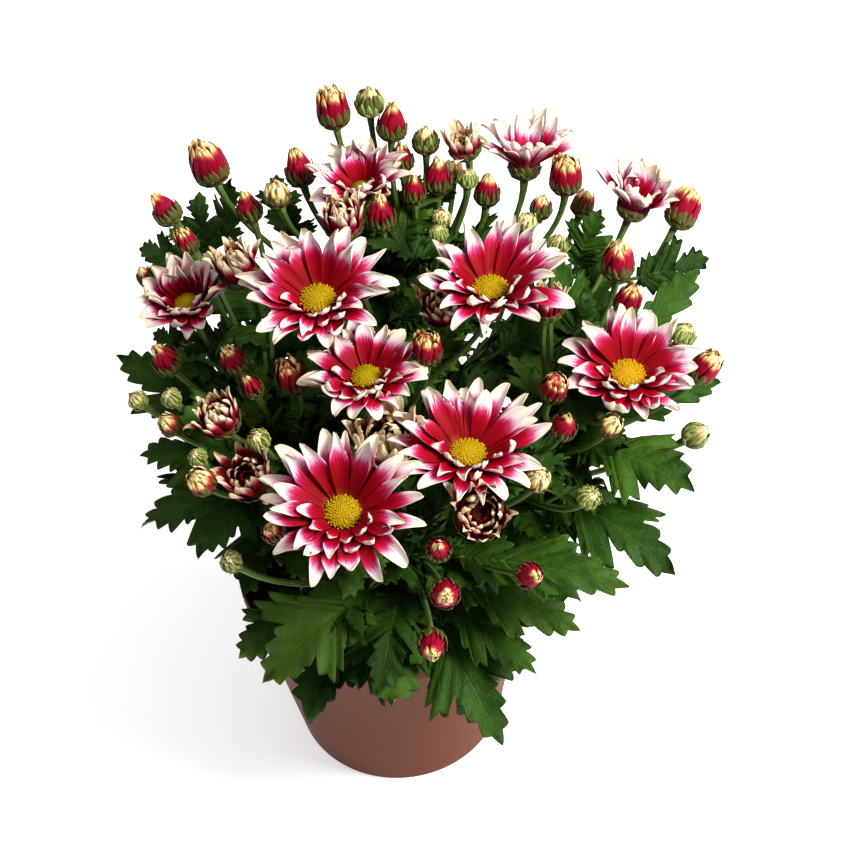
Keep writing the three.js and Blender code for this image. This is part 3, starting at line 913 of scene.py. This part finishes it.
for seed, head in enumerate(buds, 300):
    age = 0.2 if head.node in GREEN_BUDS else 1.0
    tall = head.top * (0.84 + 0.16 * age)
    placed = (head.seat, head.axis, head.radius, tall, age, seed)
    bud_pieces(head.node, [placed], [head.node])
    print(head.node, "girth", round(head.radius / MM, 1), "height", round(head.top / MM, 1))
so_far("buds")

# %% [markdown]
# ## Stems
#
# Each cutting has one main stem that rises nearly upright from the soil and leans out to
# its crown, and thin flower stalks that leave it well below their heads and arrive along
# the head's own axis. All are cubic curves with a round, ribbed section. Which main stem
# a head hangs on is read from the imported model: it is the one that ends at its seat.

# %% Stems
STEMS = {
    "centre": ((2, 2), (18, 0, 225)),
    "front": ((8, -25), (14, -54, 190)),
    "left": ((-26, 4), (-46, 4, 200)),
    "right": ((28, 0), (82, 0, 190)),
    "back": ((2, 28), (24, 62, 215)),
}
SOIL_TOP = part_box("soil")[1].z
STALK_DROP, STALK_SLOPE = 58 * MM, 0.45
STEM_ROWS = 40
STEM_THICK, STALK_THICK = (3.0 * MM, 2.2 * MM), (1.7 * MM, 1.3 * MM)  # radius, foot and head
NECK = np.array([0.1, 0.35, 0.8]) * MM  # how much a stalk widens into its head


def cubic(start, leave, arrive, end, count=24):
    """Points of cubic curves: each corner weighs as a term of ((1 - u) + u) cubed."""
    u = np.linspace(0, 1, count)[:, None]
    start, leave, arrive, end = (np.atleast_2d(corner)[:, None] for corner in (start, leave, arrive, end))
    return (1 - u) ** 3 * start + 3 * (1 - u) ** 2 * u * leave + 3 * (1 - u) * u**2 * arrive + u**3 * end


def rods(path, radius, ring=6):
    """Round tubes along paths (tubes, rows, 3), with a radius for each row."""
    along = unit(np.gradient(path, axis=1))
    chord = np.abs(path[:, -1] - path[:, 0])
    aside = np.eye(3)[np.argmin(chord, axis=1)][:, None]
    side = unit(np.cross(along, aside))
    other = np.cross(along, side)
    angle = -2 * np.pi * np.arange(ring) / ring
    spoke = side[:, :, None] * np.cos(angle)[:, None] + other[:, :, None] * np.sin(angle)[:, None]
    points = path[:, :, None] + spoke * np.broadcast_to(radius, path.shape[:2])[..., None, None]
    return points, spots(np.linspace(0, 1, path.shape[1]), np.abs(angle) / np.pi - 1, 0)


def main_stem(name, count=60):
    """Points of a cutting's main stem, from a little below the soil to its crown."""
    foot, crown = (np.array(place, float) * MM for place in STEMS[name])
    start = np.array([*foot, SOIL_TOP - 2 * MM])
    rise = 0.4 * (crown[2] - start[2]) * UP
    return cubic(start, start + rise, crown - 0.4 * (crown - start), crown, count)[0]


def flower_stalk(name, seat, axis):
    """Leaves the main stem the lower, the further out its head is."""
    trunk, crown = main_stem(name), np.array(STEMS[name][1]) * MM
    height = seat[2] - STALK_DROP - STALK_SLOPE * np.hypot(*(seat - crown)[:2])
    start = trunk[np.argmin(np.abs(trunk[:, 2] - height))]
    span = np.linalg.norm(seat - start)
    return cubic(start, start + 0.3 * span * UP, seat - 0.35 * span * axis, seat)[0]


stem_points = {name: surface_of(f"stem_{name}")[0] for name in STEMS}


def stem_under(seat):
    return min(STEMS, key=lambda name: np.linalg.norm(stem_points[name] - seat, axis=1).min())


stalks = {name: [] for name in STEMS}
for head in flowers + half_open + buds:
    name = stem_under(head.seat)
    stalks[name].append(flower_stalk(name, head.seat, head.axis))
print("stalks:", {name: len(paths) for name, paths in stalks.items()})

# %% [markdown]
# ## More buds
#
# Young plants carry many more buds than the imported model has nodes for. These are given
# as (x, y, z, girth, age) in millimetres, and each leans outwards from
# the middle of the plant on a stalk of its own.

# %% More buds
HEART = np.array([20.0, 0, 150]) * MM
MORE_BUDS = [
    (-45, 68, 284, 6, 0.9), (-32, 66, 293, 5.8, 0.3), (-22, 85, 288, 7, 1), (23, 86, 289, 5.5, 0.8),
    (12, 52, 289, 7, 1), (-73, 58, 276, 5, 0.9), (-92, 50, 266, 4.5, 0.5), (34, 88, 297, 6.2, 0.3),
    (38, 76, 285, 6.8, 1), (27, 66, 288, 5.5, 0.9), (51, 74, 286, 4.6, 0), (59, 72, 278, 6, 0.9),
    (38, 50, 287, 4, 0), (36, 40, 288, 4, 0), (82, 66, 272, 5, 0.5), (75, 56, 274, 4.5, 0),
    (87, 40, 275, 5, 0.1), (113, 8, 270, 6, 1), (138, 8, 247, 5.5, 0), (27, -22, 283, 6.5, 1),
    (77, -38, 271, 6, 0.9), (80, -50, 261, 6, 0.9), (100, -44, 252, 5, 0.4), (88, -74, 244, 5, 0),
    (67, -76, 261, 5.5, 0.3), (25, -98, 249, 5.5, 0.8), (-84, 8, 257, 6.8, 0.9), (-54, -8, 271, 6.2, 0.9),
    (-30, -15, 265, 7, 1), (-47, -20, 267, 5, 0.8), (-99, 2, 240, 4.3, 0), (-82, -14, 258, 4.3, 0),
    (-82, -30, 259, 4.8, 0.5), (-45, -46, 264, 5, 0.1), (-71, -46, 256, 4, 0), (-69, -60, 257, 6, 0.5),
    (-60, -86, 236, 4.6, 0), (-41, -84, 251, 5, 0.6), (0, 112, 262, 5.5, 0.8), (46, 116, 250, 5, 0.3),
    (104, 100, 238, 5.5, 0.6), (-70, 96, 240, 5, 0.7),
]
SAGGING = {36: 16}  # the low bud on the left rests on a stalk that hangs through, in millimetres
placed = {name: [] for name in STEMS}
for number, (x, y, z, girth, age) in enumerate(MORE_BUDS):
    middle = np.array([x, y, z]) * MM
    axis = unit((middle - HEART) * [0.45, 0.45, 1.0])
    seat = middle - girth * MM * axis
    name = min(STEMS, key=lambda one: np.hypot(*(np.array(STEMS[one][1][:2]) * MM - middle[:2])))
    tall = girth * (1.75 + 0.75 * age)
    placed[name].append((seat, axis, girth * MM, tall * MM, age, 400 + number))
    stalk = flower_stalk(name, seat, axis)
    stalk[:, 2] -= SAGGING.get(number, 0) * MM * np.sin(np.linspace(0, np.pi, len(stalk)))
    stalks[name].append(stalk)
for name, some in placed.items():
    bud_pieces(f"young_buds_{name}", some)
for name, paths in stalks.items():
    paths = np.array(paths)
    thin = np.linspace(*STALK_THICK, paths.shape[1])
    thin[-len(NECK):] += NECK
    trunk = rods(main_stem(name, STEM_ROWS)[None], np.linspace(*STEM_THICK, STEM_ROWS), 12)
    parts = [tubes(*rods(paths, thin), np.linspace(0, 1, len(paths))), tubes(*trunk, 0.5)]
    piece(f"{name}_stalks", parts, stem_green, [f"stem_{name}"])
so_far("buds and stalks")

# %% [markdown]
# ## Leaves
#
# A chrysanthemum leaf has a stalk, two pairs of side lobes and an end lobe, cut apart by
# deep notches, and every lobe has blunt teeth. It is built the way its veins run. Half of
# the edge is a row of corners, notch and tooth in turn. Each corner has a foot on the
# middle vein, and a line runs from the foot to the corner: the lines of one lobe leave the
# middle vein close together and fan out. So u runs along the edge and t runs up a line.
#
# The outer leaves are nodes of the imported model, and are read from it: the two ends of
# the plate, its flat direction, its width and how high it bows.

# %% Leaf blades
EDGE = np.array([  # share of the blade's length, and of half its width
    (0.00, 0.03), (0.02, 0.07), (0.06, 0.32), (0.10, 0.28), (0.15, 0.60), (0.205, 0.47), (0.285, 0.76),
    (0.30, 0.58), (0.365, 0.55), (0.31, 0.24), (0.42, 0.58), (0.45, 0.51), (0.54, 0.90), (0.56, 0.73),
    (0.66, 1.00), (0.66, 0.77), (0.72, 0.70), (0.58, 0.22), (0.70, 0.43), (0.725, 0.32), (0.83, 0.45),
    (0.845, 0.27), (0.925, 0.30), (0.93, 0.13), (1.00, 0.00),
])
FULL_EDGE = EDGE.copy()  # the same on a leaf whose lobes are joined further out
FULL_EDGE[[9, 17, 18, 19]] = (0.37, 0.44), (0.64, 0.42), (0.71, 0.50), (0.735, 0.40)
FEET = np.array([0, 0.01, 0.02, 0.035, 0.05, 0.065, 0.085, 0.105, 0.125, 0.15, 0.19, 0.22, 0.25, 0.28,
                 0.31, 0.34, 0.38, 0.44, 0.52, 0.58, 0.66, 0.73, 0.82, 0.90, 1.0])
TOOTH_ROUND = 0.5
LEAF_THICK, GROOVE_DEPTH, GROOVE_WIDTH = 0.35 * MM, 0.5 * MM, 1.1 * MM
STALK_SHARE, STALK_ROWS = 0.24, 9
STALK_FOOT, STALK_TOP = 1.2 * MM, 0.8 * MM
STALK_SPOT = (0.5, 0.02, 1.0)  # a stalk is painted like the middle vein
FINE, FINEST = (4 * TEETH + 1, 5), (8 * TEETH + 1, 9)


def blade_lines(rows, corners):
    """Feet (x) and edge points (x, y) of the lines of a blade with the given corners.

    From each notch to the next the edge is a parabola through the tooth between them:
    (1 - v)^2 a + 2 v (1 - v) c + v^2 b, where c is so far out that v = 1/2 is the tooth.
    The last tooth is the tip of the leaf, and its second notch is the mirror of its first.
    """
    u = np.linspace(0, 1, rows)
    corner = u * (len(FEET) - 1)
    first = np.clip(((corner - 1) // 2).astype(int), 0, TEETH - 1)
    notches = np.concatenate([corners[1::2], corners[-2:-1] * [1, -1]])
    teeth = corners[2::2]
    a, b, tooth = notches[first], notches[first + 1], teeth[first]
    v = ((corner - 1) / 2 - first)[:, None]
    arched = (1 - v) ** 2 * a + 2 * v * (1 - v) * (2 * tooth - (a + b) / 2) + v**2 * b
    straight = np.stack([np.interp(corner, np.arange(len(corners)), corners[:, i]) for i in (0, 1)], 1)
    edge = np.where(v < 0, straight, TOOTH_ROUND * arched + (1 - TOOTH_ROUND) * straight)
    return u, (np.interp(corner, np.arange(len(FEET)), FEET), edge[:, 0], edge[:, 1])


def leaf_blades(rng, root, tip, up, width, arch, grain=FINE, cut=(0, 1)):
    """Leaf blades and their stalks, from (leaves, 3) roots, tips and up directions.

    A point of the blade lies at foot(u) + |t| (edge(u) - foot(u)), and each lobe is a
    little longer or shorter than the rest. cut is the range of how deeply the leaves are
    cut, with 0 for FULL_EDGE and 1 for EDGE. The height is the bow 4 q (1 - q) at a share q
    of the length, plus the fold |y|, minus the droop y^2, plus waves that grow to the edge,
    minus a groove exp(-d^2) at the distance d from a main vein. grain is how many rows of
    points a blade has, and how many points across.
    """
    count = len(root)
    length = np.linalg.norm(tip - root, axis=1)[:, None]
    along = (tip - root) / length
    up = unit(up - (up * along).sum(1, keepdims=True) * along)
    side = np.cross(up, along)
    length, half = length[..., None], width[:, None, None] / 2
    arch = arch[:, None, None]

    def pick(low, high):
        return rng.uniform(low, high, (count, 1, 1))

    def place(*distances):
        there = zip((along, side, up), distances)
        return root[:, None, None] + sum(way[:, None, None] * distance[..., None] for way, distance in there)

    rows, across = grain
    u, (foot, *deep) = blade_lines(rows, EDGE)
    _, (_, *full) = blade_lines(rows, FULL_EDGE)
    u, foot = u[None, :, None], foot[None, :, None]
    lobed = pick(*cut)
    edge_x, edge_y = (lobed * deep[i][None, :, None] + (1 - lobed) * full[i][None, :, None] for i in (0, 1))
    t, face, _ = strap_ring(across, 1.0)
    reach = np.abs(t)
    uneven = 1 + 0.15 * np.sin(5.5 * u + pick(0, 6) + pick(0, 6) * np.sign(t)) * np.sin(np.pi * u)
    blade = length * (1 - STALK_SHARE)
    x = length * STALK_SHARE + blade * (foot + reach * uneven * (edge_x - foot))
    y = np.sign(t) * reach * half * uneven * edge_y
    q = x / length
    vein = np.abs(np.abs(u * TEETH - 5) - 2)
    bow = 4 * arch * q * (1 - q) + pick(0.0, 0.35) * np.abs(y) - pick(0.1, 0.5) * y**2 / half
    waves = 0.14 * np.sin(8 * u + pick(0, 6) + pick(0, 6) * np.sign(t)) * reach**2
    waves = waves + 0.06 * np.sin(2 * np.pi * TEETH / 3 * u + pick(0, 6)) * reach
    waves = waves + 0.03 * np.sin(2 * np.pi * TEETH * u + pick(0, 6)) * reach**2
    grooves = np.exp(-((y / GROOVE_WIDTH) ** 2)) + np.exp(-((vein / 0.3) ** 2)) * np.sin(np.pi * reach)
    skin = LEAF_THICK * (face - 0.5) * np.sqrt(1 - 0.9 * t**2)
    height = bow + half * waves - GROOVE_DEPTH * grooves + skin
    chance = rng.uniform(0, 1, count)
    blades = tubes(place(x, y, height), spots(u[..., 0], t, face), chance)

    run = np.linspace(0, STALK_SHARE + 0.03, STALK_ROWS)[None, :, None]
    bow = 4 * arch * run * (1 - run) - 0.3 * MM
    path = place(run * length, 0 * bow, bow)[:, :, 0]
    stalk, _ = rods(path, np.linspace(STALK_FOOT, STALK_TOP, STALK_ROWS))
    return [blades, tubes(stalk, STALK_SPOT, chance)]


def leaf_of(node):
    """Root, tip, up direction, width and bow of a packed leaf."""
    points, middles, area = surface_of(node)
    middle, (up, side, along) = spread_of(middles, area)
    up = up * np.sign(up[2])
    reach, aside = (points - middle) @ along, np.abs((points - middle) @ side)
    tip_width, root_width = (aside[end > np.quantile(end, 0.8)].max() for end in (reach, -reach))
    if tip_width < root_width:
        along, reach = -along, -reach
    tip = points[reach > reach.max() - 1 * MM].mean(0)
    root = points[reach < reach.min() + 1 * MM].mean(0)
    chord = unit(tip - root)
    up = up - (up @ chord) * chord
    arch = np.quantile((points - root) @ up, 0.98)
    return root, tip, unit(up) + [0, -0.3, 0.1], 2.05 * aside.max(), arch


REACH = {"leaf_11": 0.8}
CUT = {"leaf_01": 1.5, "leaf_09": 1.5, "leaf_16": 1.3, "leaf_17": 1.3}
rng = np.random.default_rng(500)
for node in named("leaf_"):
    root, tip, up, width, arch = leaf_of(node)
    tip = root + REACH.get(node, 1.0) * (tip - root)
    deep = CUT.get(node, rng.uniform(0, 1))
    parts = leaf_blades(rng, root[None], tip[None], up[None], np.array([width]), np.array([arch]),
                        FINEST, (deep, deep))
    piece(f"{node}_blade", parts, leaf_green, [node])
so_far("outer leaves")

# %% [markdown]
# ## Inner leaves
#
# Leaves go up a main stem in a spiral, each turned from the last by the golden angle. They
# are long and reach out nearly level low down, and get shorter and steeper higher up. Each
# flower stalk carries two small ones that point any way. All of them also turn away from
# the middle of the plant, towards the light. A leaf that would grow through a head is left
# out, as if it had been pushed aside. A few more are given one by one: around the crown, in
# gaps that would let the floor show through, and low down over the rim of the pot.

# %% Inner leaves
HEAD_ROOM, SIDE_ROOM = 12 * MM, 3 * MM  # how far the rays get past the solid of a head
OPEN_SIDE, OPEN_FRONT, OPEN_HEIGHT, OPEN_SLANT = -58 * MM, 6 * MM, 122 * MM, 0.73
BOX_MARGIN = 4 * MM
LOWEST_LEAF, LEAF_STEP = 114 * MM, 7.5 * MM
LONG_LEAF, SHORT_LEAF = 72 * MM, 40 * MM


def clear_of_heads(points):
    """Whether none of each leaf's points (leaves, points, 3) is inside the rays of a head."""
    clear = np.ones(len(points), bool)
    for head in flowers + half_open + buds:
        away = points - head.seat
        height = away @ head.axis
        radius = np.linalg.norm(away - height[..., None] * head.axis, axis=-1)
        inside = (height > 1 * MM) & (height < head.top + HEAD_ROOM)
        clear &= ~(inside & (radius < head.radius + SIDE_ROOM)).any(1)
    return clear


def off_the_open_side(points):
    """Whether a leaf stays off the left of the rim, where the foliage is open, with a slanted edge."""
    forward = points[..., 1] + OPEN_SLANT * (points[..., 2] - OPEN_HEIGHT)
    return ~((points[..., 0] < OPEN_SIDE) & (forward < OPEN_FRONT)).any(1)


def grown_leaves(rng, root, length, azimuth, climb, outward, narrow=1.0, grain=FINE, cut=(0, 1)):
    """Leaves from their roots: a heading between the spiral's and outwards, and a climb."""
    away = unit((root - HEART) * [1, 1, 0])
    heading = np.stack([np.cos(azimuth), np.sin(azimuth), 0 * azimuth], 1) + outward[:, None] * away
    heading = unit(heading) * np.cos(climb)[:, None] + UP * np.sin(climb)[:, None]
    tip = root + heading * length[:, None]
    tip = np.clip(tip, np.array(CAD_BOX[0]) + BOX_MARGIN, np.array(CAD_BOX[1]) - BOX_MARGIN)
    level = unit(np.cross(UP, heading))
    tilt = rng.normal(0, 0.25, len(root))[:, None]
    up = unit(np.cross(heading, level)) + tilt * level
    width = narrow * length * rng.uniform(0.64, 0.82, len(root))
    arch = length * rng.uniform(0.08, 0.2, len(root))
    share = np.linspace(0.15, 1, 6)[None, :, None]
    middle = root[:, None] + share * (tip - root)[:, None]
    middle = middle + 4 * share * (1 - share) * (arch[:, None] * up)[:, None]
    aside = (np.cross(up, heading) * width[:, None])[:, None] * 0.4
    spread = np.concatenate([middle, middle[:, 2:] + aside, middle[:, 2:] - aside], 1)
    keep = clear_of_heads(spread) & off_the_open_side(spread)
    return leaf_blades(rng, root[keep], tip[keep], up[keep], width[keep], arch[keep], grain, cut)


rng = np.random.default_rng(600)
for name in STEMS:
    trunk = main_stem(name)
    height = np.arange(LOWEST_LEAF, trunk[-1, 2], LEAF_STEP)
    root = trunk[np.argmin(np.abs(trunk[:, 2] - height[:, None]), axis=1)]
    turn = GOLDEN_ANGLE * np.arange(len(height)) + rng.uniform(0, 6)
    up_share = (height - height[0]) / (trunk[-1, 2] - height[0])
    low = grown_leaves(rng, root, about(rng, LONG_LEAF, 0.12, len(height)) * (1 - 0.3 * up_share),
                       turn, np.radians(8 + 40 * up_share), 0.8 * (1 - up_share))
    paths = np.repeat(np.array(stalks[name]), 2, axis=0)
    count = len(paths)
    root = paths[np.arange(count), rng.integers(4, 16, count)]
    high = grown_leaves(rng, root, about(rng, SHORT_LEAF, 0.25, count), rng.uniform(0, 2 * np.pi, count),
                        np.radians(rng.uniform(5, 65, count)), np.full(count, 0.5), narrow=0.8,
                        cut=(0.6, 1.5))
    piece(f"{name}_leaves", low + high, leaf_green)
    so_far(f"{name} leaves")

MORE_LEAVES = np.array([  # root, tip and width in millimetres
    (-66, 86, 229, -70, 101, 264, 26), (-60, 90, 228, -54, 103, 270, 24), (-72, 84, 236, -99, 86, 247, 24),
    (-70, 84, 240, -84, 88, 256, 18), (94, 60, 230, 109, 71, 263, 26), (97, 66, 236, 113, 50, 246, 22),
    (97, 32, 222, 84, 43, 264, 30), (-22, 93, 236, -29, 90, 264, 24), (-80, 40, 229, -92, 39, 241, 20),
    (34, 78, 236, 18, 68, 268, 28), (12, 28, 236, 30, 45, 264, 26), (84, 30, 220, 100, 29, 252, 28),
    (112, 54, 232, 156, 58, 240, 30),
]) * MM
GAP_LEAVES = np.array([
    (-8, 60, 192, -58, 70, 202, 34), (-14, 84, 178, -50, 92, 186, 28), (48, 46, 192, 94, 70, 200, 34),
    (54, 30, 178, 74, 76, 192, 30), (62, 78, 178, 92, 96, 190, 28), (-30, -20, 134, -69, -57, 125, 35),
]) * MM


def placed_leaves(rng, table, cut):
    """Leaves from rows of a root, a tip and a width."""
    root, tip, width = table[:, :3], table[:, 3:6], table[:, 6]
    up = np.broadcast_to([0.0, -0.5, 0.86], root.shape) + rng.normal(0, 0.2, root.shape)
    return leaf_blades(rng, root, tip, up, width, 0.12 * width, cut=cut)


fingered = np.full((len(MORE_LEAVES), 1, 1), 1.6)
fingered[-1] = 2.4
crown = placed_leaves(rng, MORE_LEAVES, (fingered - 0.5, fingered))
gaps = placed_leaves(np.random.default_rng(650), GAP_LEAVES, (0, 1))
piece("crown_leaves", crown + gaps, leaf_green)

SKIRT = np.radians([-128, -106, -84, -62, -40, -18, 6, 30, 52, 74, 96, 118, 142, -95, -50, -5])
azimuth = SKIRT + np.radians(rng.uniform(-6, 6, len(SKIRT)))
feet = np.array([main_stem(name)[3] for name in STEMS])
heading = np.stack([np.cos(azimuth), np.sin(azimuth)], 1)
root = feet[np.argmax(heading @ feet[:, :2].T, axis=1)]
root = root + UP * rng.uniform(4, 24, len(SKIRT))[:, None] * MM
low = grown_leaves(rng, root, about(rng, LONG_LEAF, 0.10, len(SKIRT)), azimuth,
                   np.radians(rng.uniform(-4, 16, len(SKIRT))), np.zeros(len(SKIRT)), grain=FINEST)
piece("skirt_leaves", low, leaf_green)
so_far("inner leaves")

# %% [markdown]
# ## The pot and the soil
#
# The pot is thin brown plastic from a mould: a tapered wall, a band under the lip, and a
# narrow foot. Its profile goes up the outside, over the lip and down the
# inside, so the wall has its real thickness. Each corner is eased by a small curve. Four
# drain holes are then cut through its floor.

# %% Pot and soil
POT_HEIGHT, POT_BASE, POT_RIM = 122 * MM, 51 * MM, 70 * MM
BAND_HEIGHT, BAND_STEP, WALL, FLOOR = 11 * MM, 2.2 * MM, 1.8 * MM, 2.6 * MM
BAND_FOOT = POT_HEIGHT - BAND_HEIGHT
DRAIN_RADIUS, DRAIN_RING = 6.5 * MM, 33 * MM
POT_SLOPE = (POT_RIM - BAND_STEP - POT_BASE) / BAND_FOOT
POT_RING, PEG_RING, SOIL_RING, GRANULE_RING = 96, 32, 80, 5
SOIL_LEVEL, SOIL_GAP, GRANULES = 104 * MM, 0.35 * MM, 420


def pot_wall(z, inside=0.0):
    """Radius of the tapered wall at a height, or of its inner face with inside=WALL."""
    return POT_BASE + POT_SLOPE * z - inside


def eased(corners, radius, steps=4):
    """A profile whose inner corners are replaced by curves that start a radius away from them.

    The curve from a to b by way of the corner c is (1 - w)^2 a + 2 w (1 - w) c + w^2 b.
    """
    corners = np.array(corners, float)
    corner = corners[1:-1, None]
    w = np.linspace(0, 1, steps)[:, None]

    def towards(other):
        away = other[:, None] - corner
        return corner + away * np.minimum(radius / np.linalg.norm(away, axis=2, keepdims=True), 0.45)

    start, end = towards(corners[:-2]), towards(corners[2:])
    curves = (1 - w) ** 2 * start + 2 * w * (1 - w) * corner + w**2 * end
    return np.concatenate([corners[:1], curves.reshape(-1, 2), corners[-1:]])


def wall_points(low, high, inside=0.0):
    z = np.linspace(low, high, 3)
    return list(zip(pot_wall(z, inside), z))


def pot_finish():
    made = Finish("moulded plastic", Specular_IOR_Level=0.11)
    place = made.place()
    x, y, z = made.split(place)
    cloud = made.noise(place, 14.0, 3.0)
    grain = made.noise(place, 700.0, 2.0)
    scuff = made.noise(made.place(x * 60, y * 60, z * 900), 1.0, 3.0, 0.7).step(0.62, 0.78)
    colour = made.ramp(cloud + 0.2 * (grain - 0.5), (0.2, 97, 51, 31), (0.8, 114, 61, 36))
    colour = made.mix(scuff * 0.15, colour, (136, 88, 66))
    rough = 0.42 + 0.12 * cloud + 0.15 * scuff
    return made.wear(colour, grain + scuff * 0.5, depth=0.03 * MM, Roughness=rough)


def take_away(made, cutter):
    """Takes one closed mesh away from another, and keeps the result as a plain mesh."""
    hole = made.modifiers.new("holes", "BOOLEAN")
    hole.operation, hole.object, hole.solver = "DIFFERENCE", cutter, "EXACT"
    graph = bpy.context.evaluated_depsgraph_get()
    result = bpy.data.meshes.new_from_object(made.evaluated_get(graph))
    made.modifiers.clear()
    made.data = result
    bpy.data.objects.remove(cutter)


rim = [(POT_RIM - 0.4 * MM, BAND_FOOT + 0.8 * MM), (POT_RIM - 0.2 * MM, BAND_FOOT + 4 * MM),
       (POT_RIM, POT_HEIGHT - 0.9 * MM), (POT_RIM - 0.6 * MM, POT_HEIGHT),
       (POT_RIM - WALL + 0.5 * MM, POT_HEIGHT), (POT_RIM - WALL, POT_HEIGHT - 0.9 * MM),
       (POT_RIM - WALL - 0.3 * MM, BAND_FOOT + 5 * MM)]
foot = [(2 * MM, 0.6 * MM), (POT_BASE - 5 * MM, 0.6 * MM), (POT_BASE - 4 * MM, 0), (POT_BASE, 0)]
floor_in = [(pot_wall(FLOOR, WALL), FLOOR), (2 * MM, FLOOR)]
profile = (foot + wall_points(3 * MM, BAND_FOOT) + rim + wall_points(BAND_FOOT, 5 * MM, WALL) + floor_in)
wall = turned(eased(profile, 1.2 * MM), POT_RING)
pot = piece("plastic_pot", [tubes(*wall, 0.5)], pot_finish(), ["pot"])

quarter = np.pi / 2 * (np.arange(4) + 0.5)
peg, _ = turned([(DRAIN_RADIUS, -6 * MM), (DRAIN_RADIUS, 6 * MM)], PEG_RING)
pegs = peg + (DRAIN_RING * np.stack([np.cos(quarter), np.sin(quarter), 0 * quarter], 1))[:, None, None]
mesh = bpy.data.meshes.new("pegs")
pegs = tubes(pegs, 0, 0.5)
mesh.from_pydata(pegs["points"].tolist(), [], pegs["quads"].tolist() + pegs["ends"].tolist())
take_away(pot, linked("pegs", mesh))
pot.data.set_sharp_from_angle(angle=np.radians(40))
print("pot:", len(pot.data.polygons), "faces")

# %% [markdown]
# The soil fills the pot up to a watering space below the lip. Its top is a low crown of
# lumps: a sum of waves in many directions gives the ground, and small granules lie on it.

# %% Soil
def soil_finish():
    made = Finish("peat", Roughness=0.95, Specular_IOR_Level=0.2)
    place = made.place()
    clod = made.noise(place, 160.0, 5.0, 0.7)
    crumb = made.node("TexVoronoi", inputs={"Vector": place, "Scale": 700.0})
    colour = made.ramp(clod + 0.3 * (crumb - 0.4), (0.25, 26, 17, 12), (0.55, 52, 36, 25),
                       (0.8, 88, 66, 46))
    return made.wear(colour, clod * 1.4 + crumb, depth=0.8 * MM, strength=0.9)


def ground(rng, x, y, rough=0.7 * MM, waves=24):
    """Height of the soil: a crown that falls with the square of the radius, and waves."""
    turn, pace = rng.uniform(0, 2 * np.pi, waves), rng.uniform(60, 900, waves)
    start, size = rng.uniform(0, 6, waves), rough * 60**0.5 / np.sqrt(pace)
    run = x[..., None] * np.cos(turn) + y[..., None] * np.sin(turn)
    crown = 2 * MM * (1 - (x**2 + y**2) / SOIL_RADIUS**2)
    return SOIL_LEVEL + crown + (size * np.sin(pace * run + start)).sum(-1) * 0.5


rng = np.random.default_rng(700)
SOIL_RADIUS = pot_wall(SOIL_LEVEL, WALL) - SOIL_GAP
profile = [(2 * MM, FLOOR + SOIL_GAP), (pot_wall(FLOOR, WALL) - 0.6 * MM, FLOOR + SOIL_GAP),
           (SOIL_RADIUS, SOIL_LEVEL - 2 * MM)]
profile += [(radius, SOIL_LEVEL) for radius in np.linspace(SOIL_RADIUS, 0.5 * MM, 32)]
points, spot = turned(profile, SOIL_RING)
top = points[:, 3:]
seeded = rng.bit_generator.state
top[..., 2] = ground(rng, top[..., 0], top[..., 1])
angle = rng.uniform(0, 2 * np.pi, GRANULES)
radius = SOIL_RADIUS * 0.97 * np.sqrt(rng.uniform(0, 1, GRANULES))
x, y = radius * np.cos(angle), radius * np.sin(angle)
size = rng.uniform(0.6, 1.9, GRANULES) * MM
rng.bit_generator.state = seeded
middle = np.stack([x, y, ground(rng, x, y) + 0.3 * size], 1)
granule, granule_spot = turned([(0.5, -0.8), (1.0, 0.1), (0.45, 0.8)], GRANULE_RING)
uneven = rng.uniform(0.7, 1.3, (GRANULES, 3, GRANULE_RING, 1))
lumps = granule * size[:, None, None, None] * uneven + middle[:, None, None]
parts = [tubes(points, spot, 0.5), tubes(lumps, granule_spot, rng.uniform(0, 1, GRANULES))]
piece("peat", parts, soil_finish(), ["soil"])
so_far("pot and soil")

# %% [markdown]
# ## Light and floor
#
# Most light comes from a large soft lamp, high up on the right and a little in front, so
# the right of the pot is lighter than its left. A weaker lamp hangs overhead. The hollows
# between the leaves stay dark. The floor is very pale and glows faintly, as a light table
# does, which keeps the shadow under the plant soft.

# %% Light and floor
FLOOR_HALF, FLOOR_GLOW, SKY_GLOW = 12.0, 0.5, 0.10


def floor():
    mesh = bpy.data.meshes.new("floor")
    corners = np.array([(-1, -1, 0), (1, -1, 0), (1, 1, 0), (-1, 1, 0)]) * FLOOR_HALF
    mesh.from_pydata(corners.tolist(), [], [(0, 1, 2, 3)])
    plain = Finish("pale floor", Base_Color=(0.93, 0.93, 0.94, 1), Roughness=0.9,
                   Emission_Color=(1, 1, 1, 1), Emission_Strength=FLOOR_GLOW)
    mesh.materials.append(plain.material)
    linked("floor", mesh)


def lamp(name, at, aim, size, watts):
    data = bpy.data.lights.new(name, "AREA")
    data.size, data.energy = size, watts
    linked(name, data).matrix_world = looking(at, aim)


floor()
lamp("key", at=(0.86, -0.32, 1.15), aim=(0.02, 0, 0.2), size=0.55, watts=22.5)
lamp("overhead", at=(-0.2, 0.2, 1.6), aim=(0.02, 0, 0.15), size=1.0, watts=8)
world = bpy.data.worlds.new("studio")
world.use_nodes = True
sky = world.node_tree.nodes["Background"].inputs
sky["Color"].default_value, sky["Strength"].default_value = (1, 1, 1, 1), SKY_GLOW
bpy.context.scene.world = world
view = bpy.context.scene.view_settings
view.view_transform, view.look = "Standard", "Medium High Contrast"
print("lamps:", len(bpy.data.lights))

# %% Finish
print("triangles in all:", total_triangles)
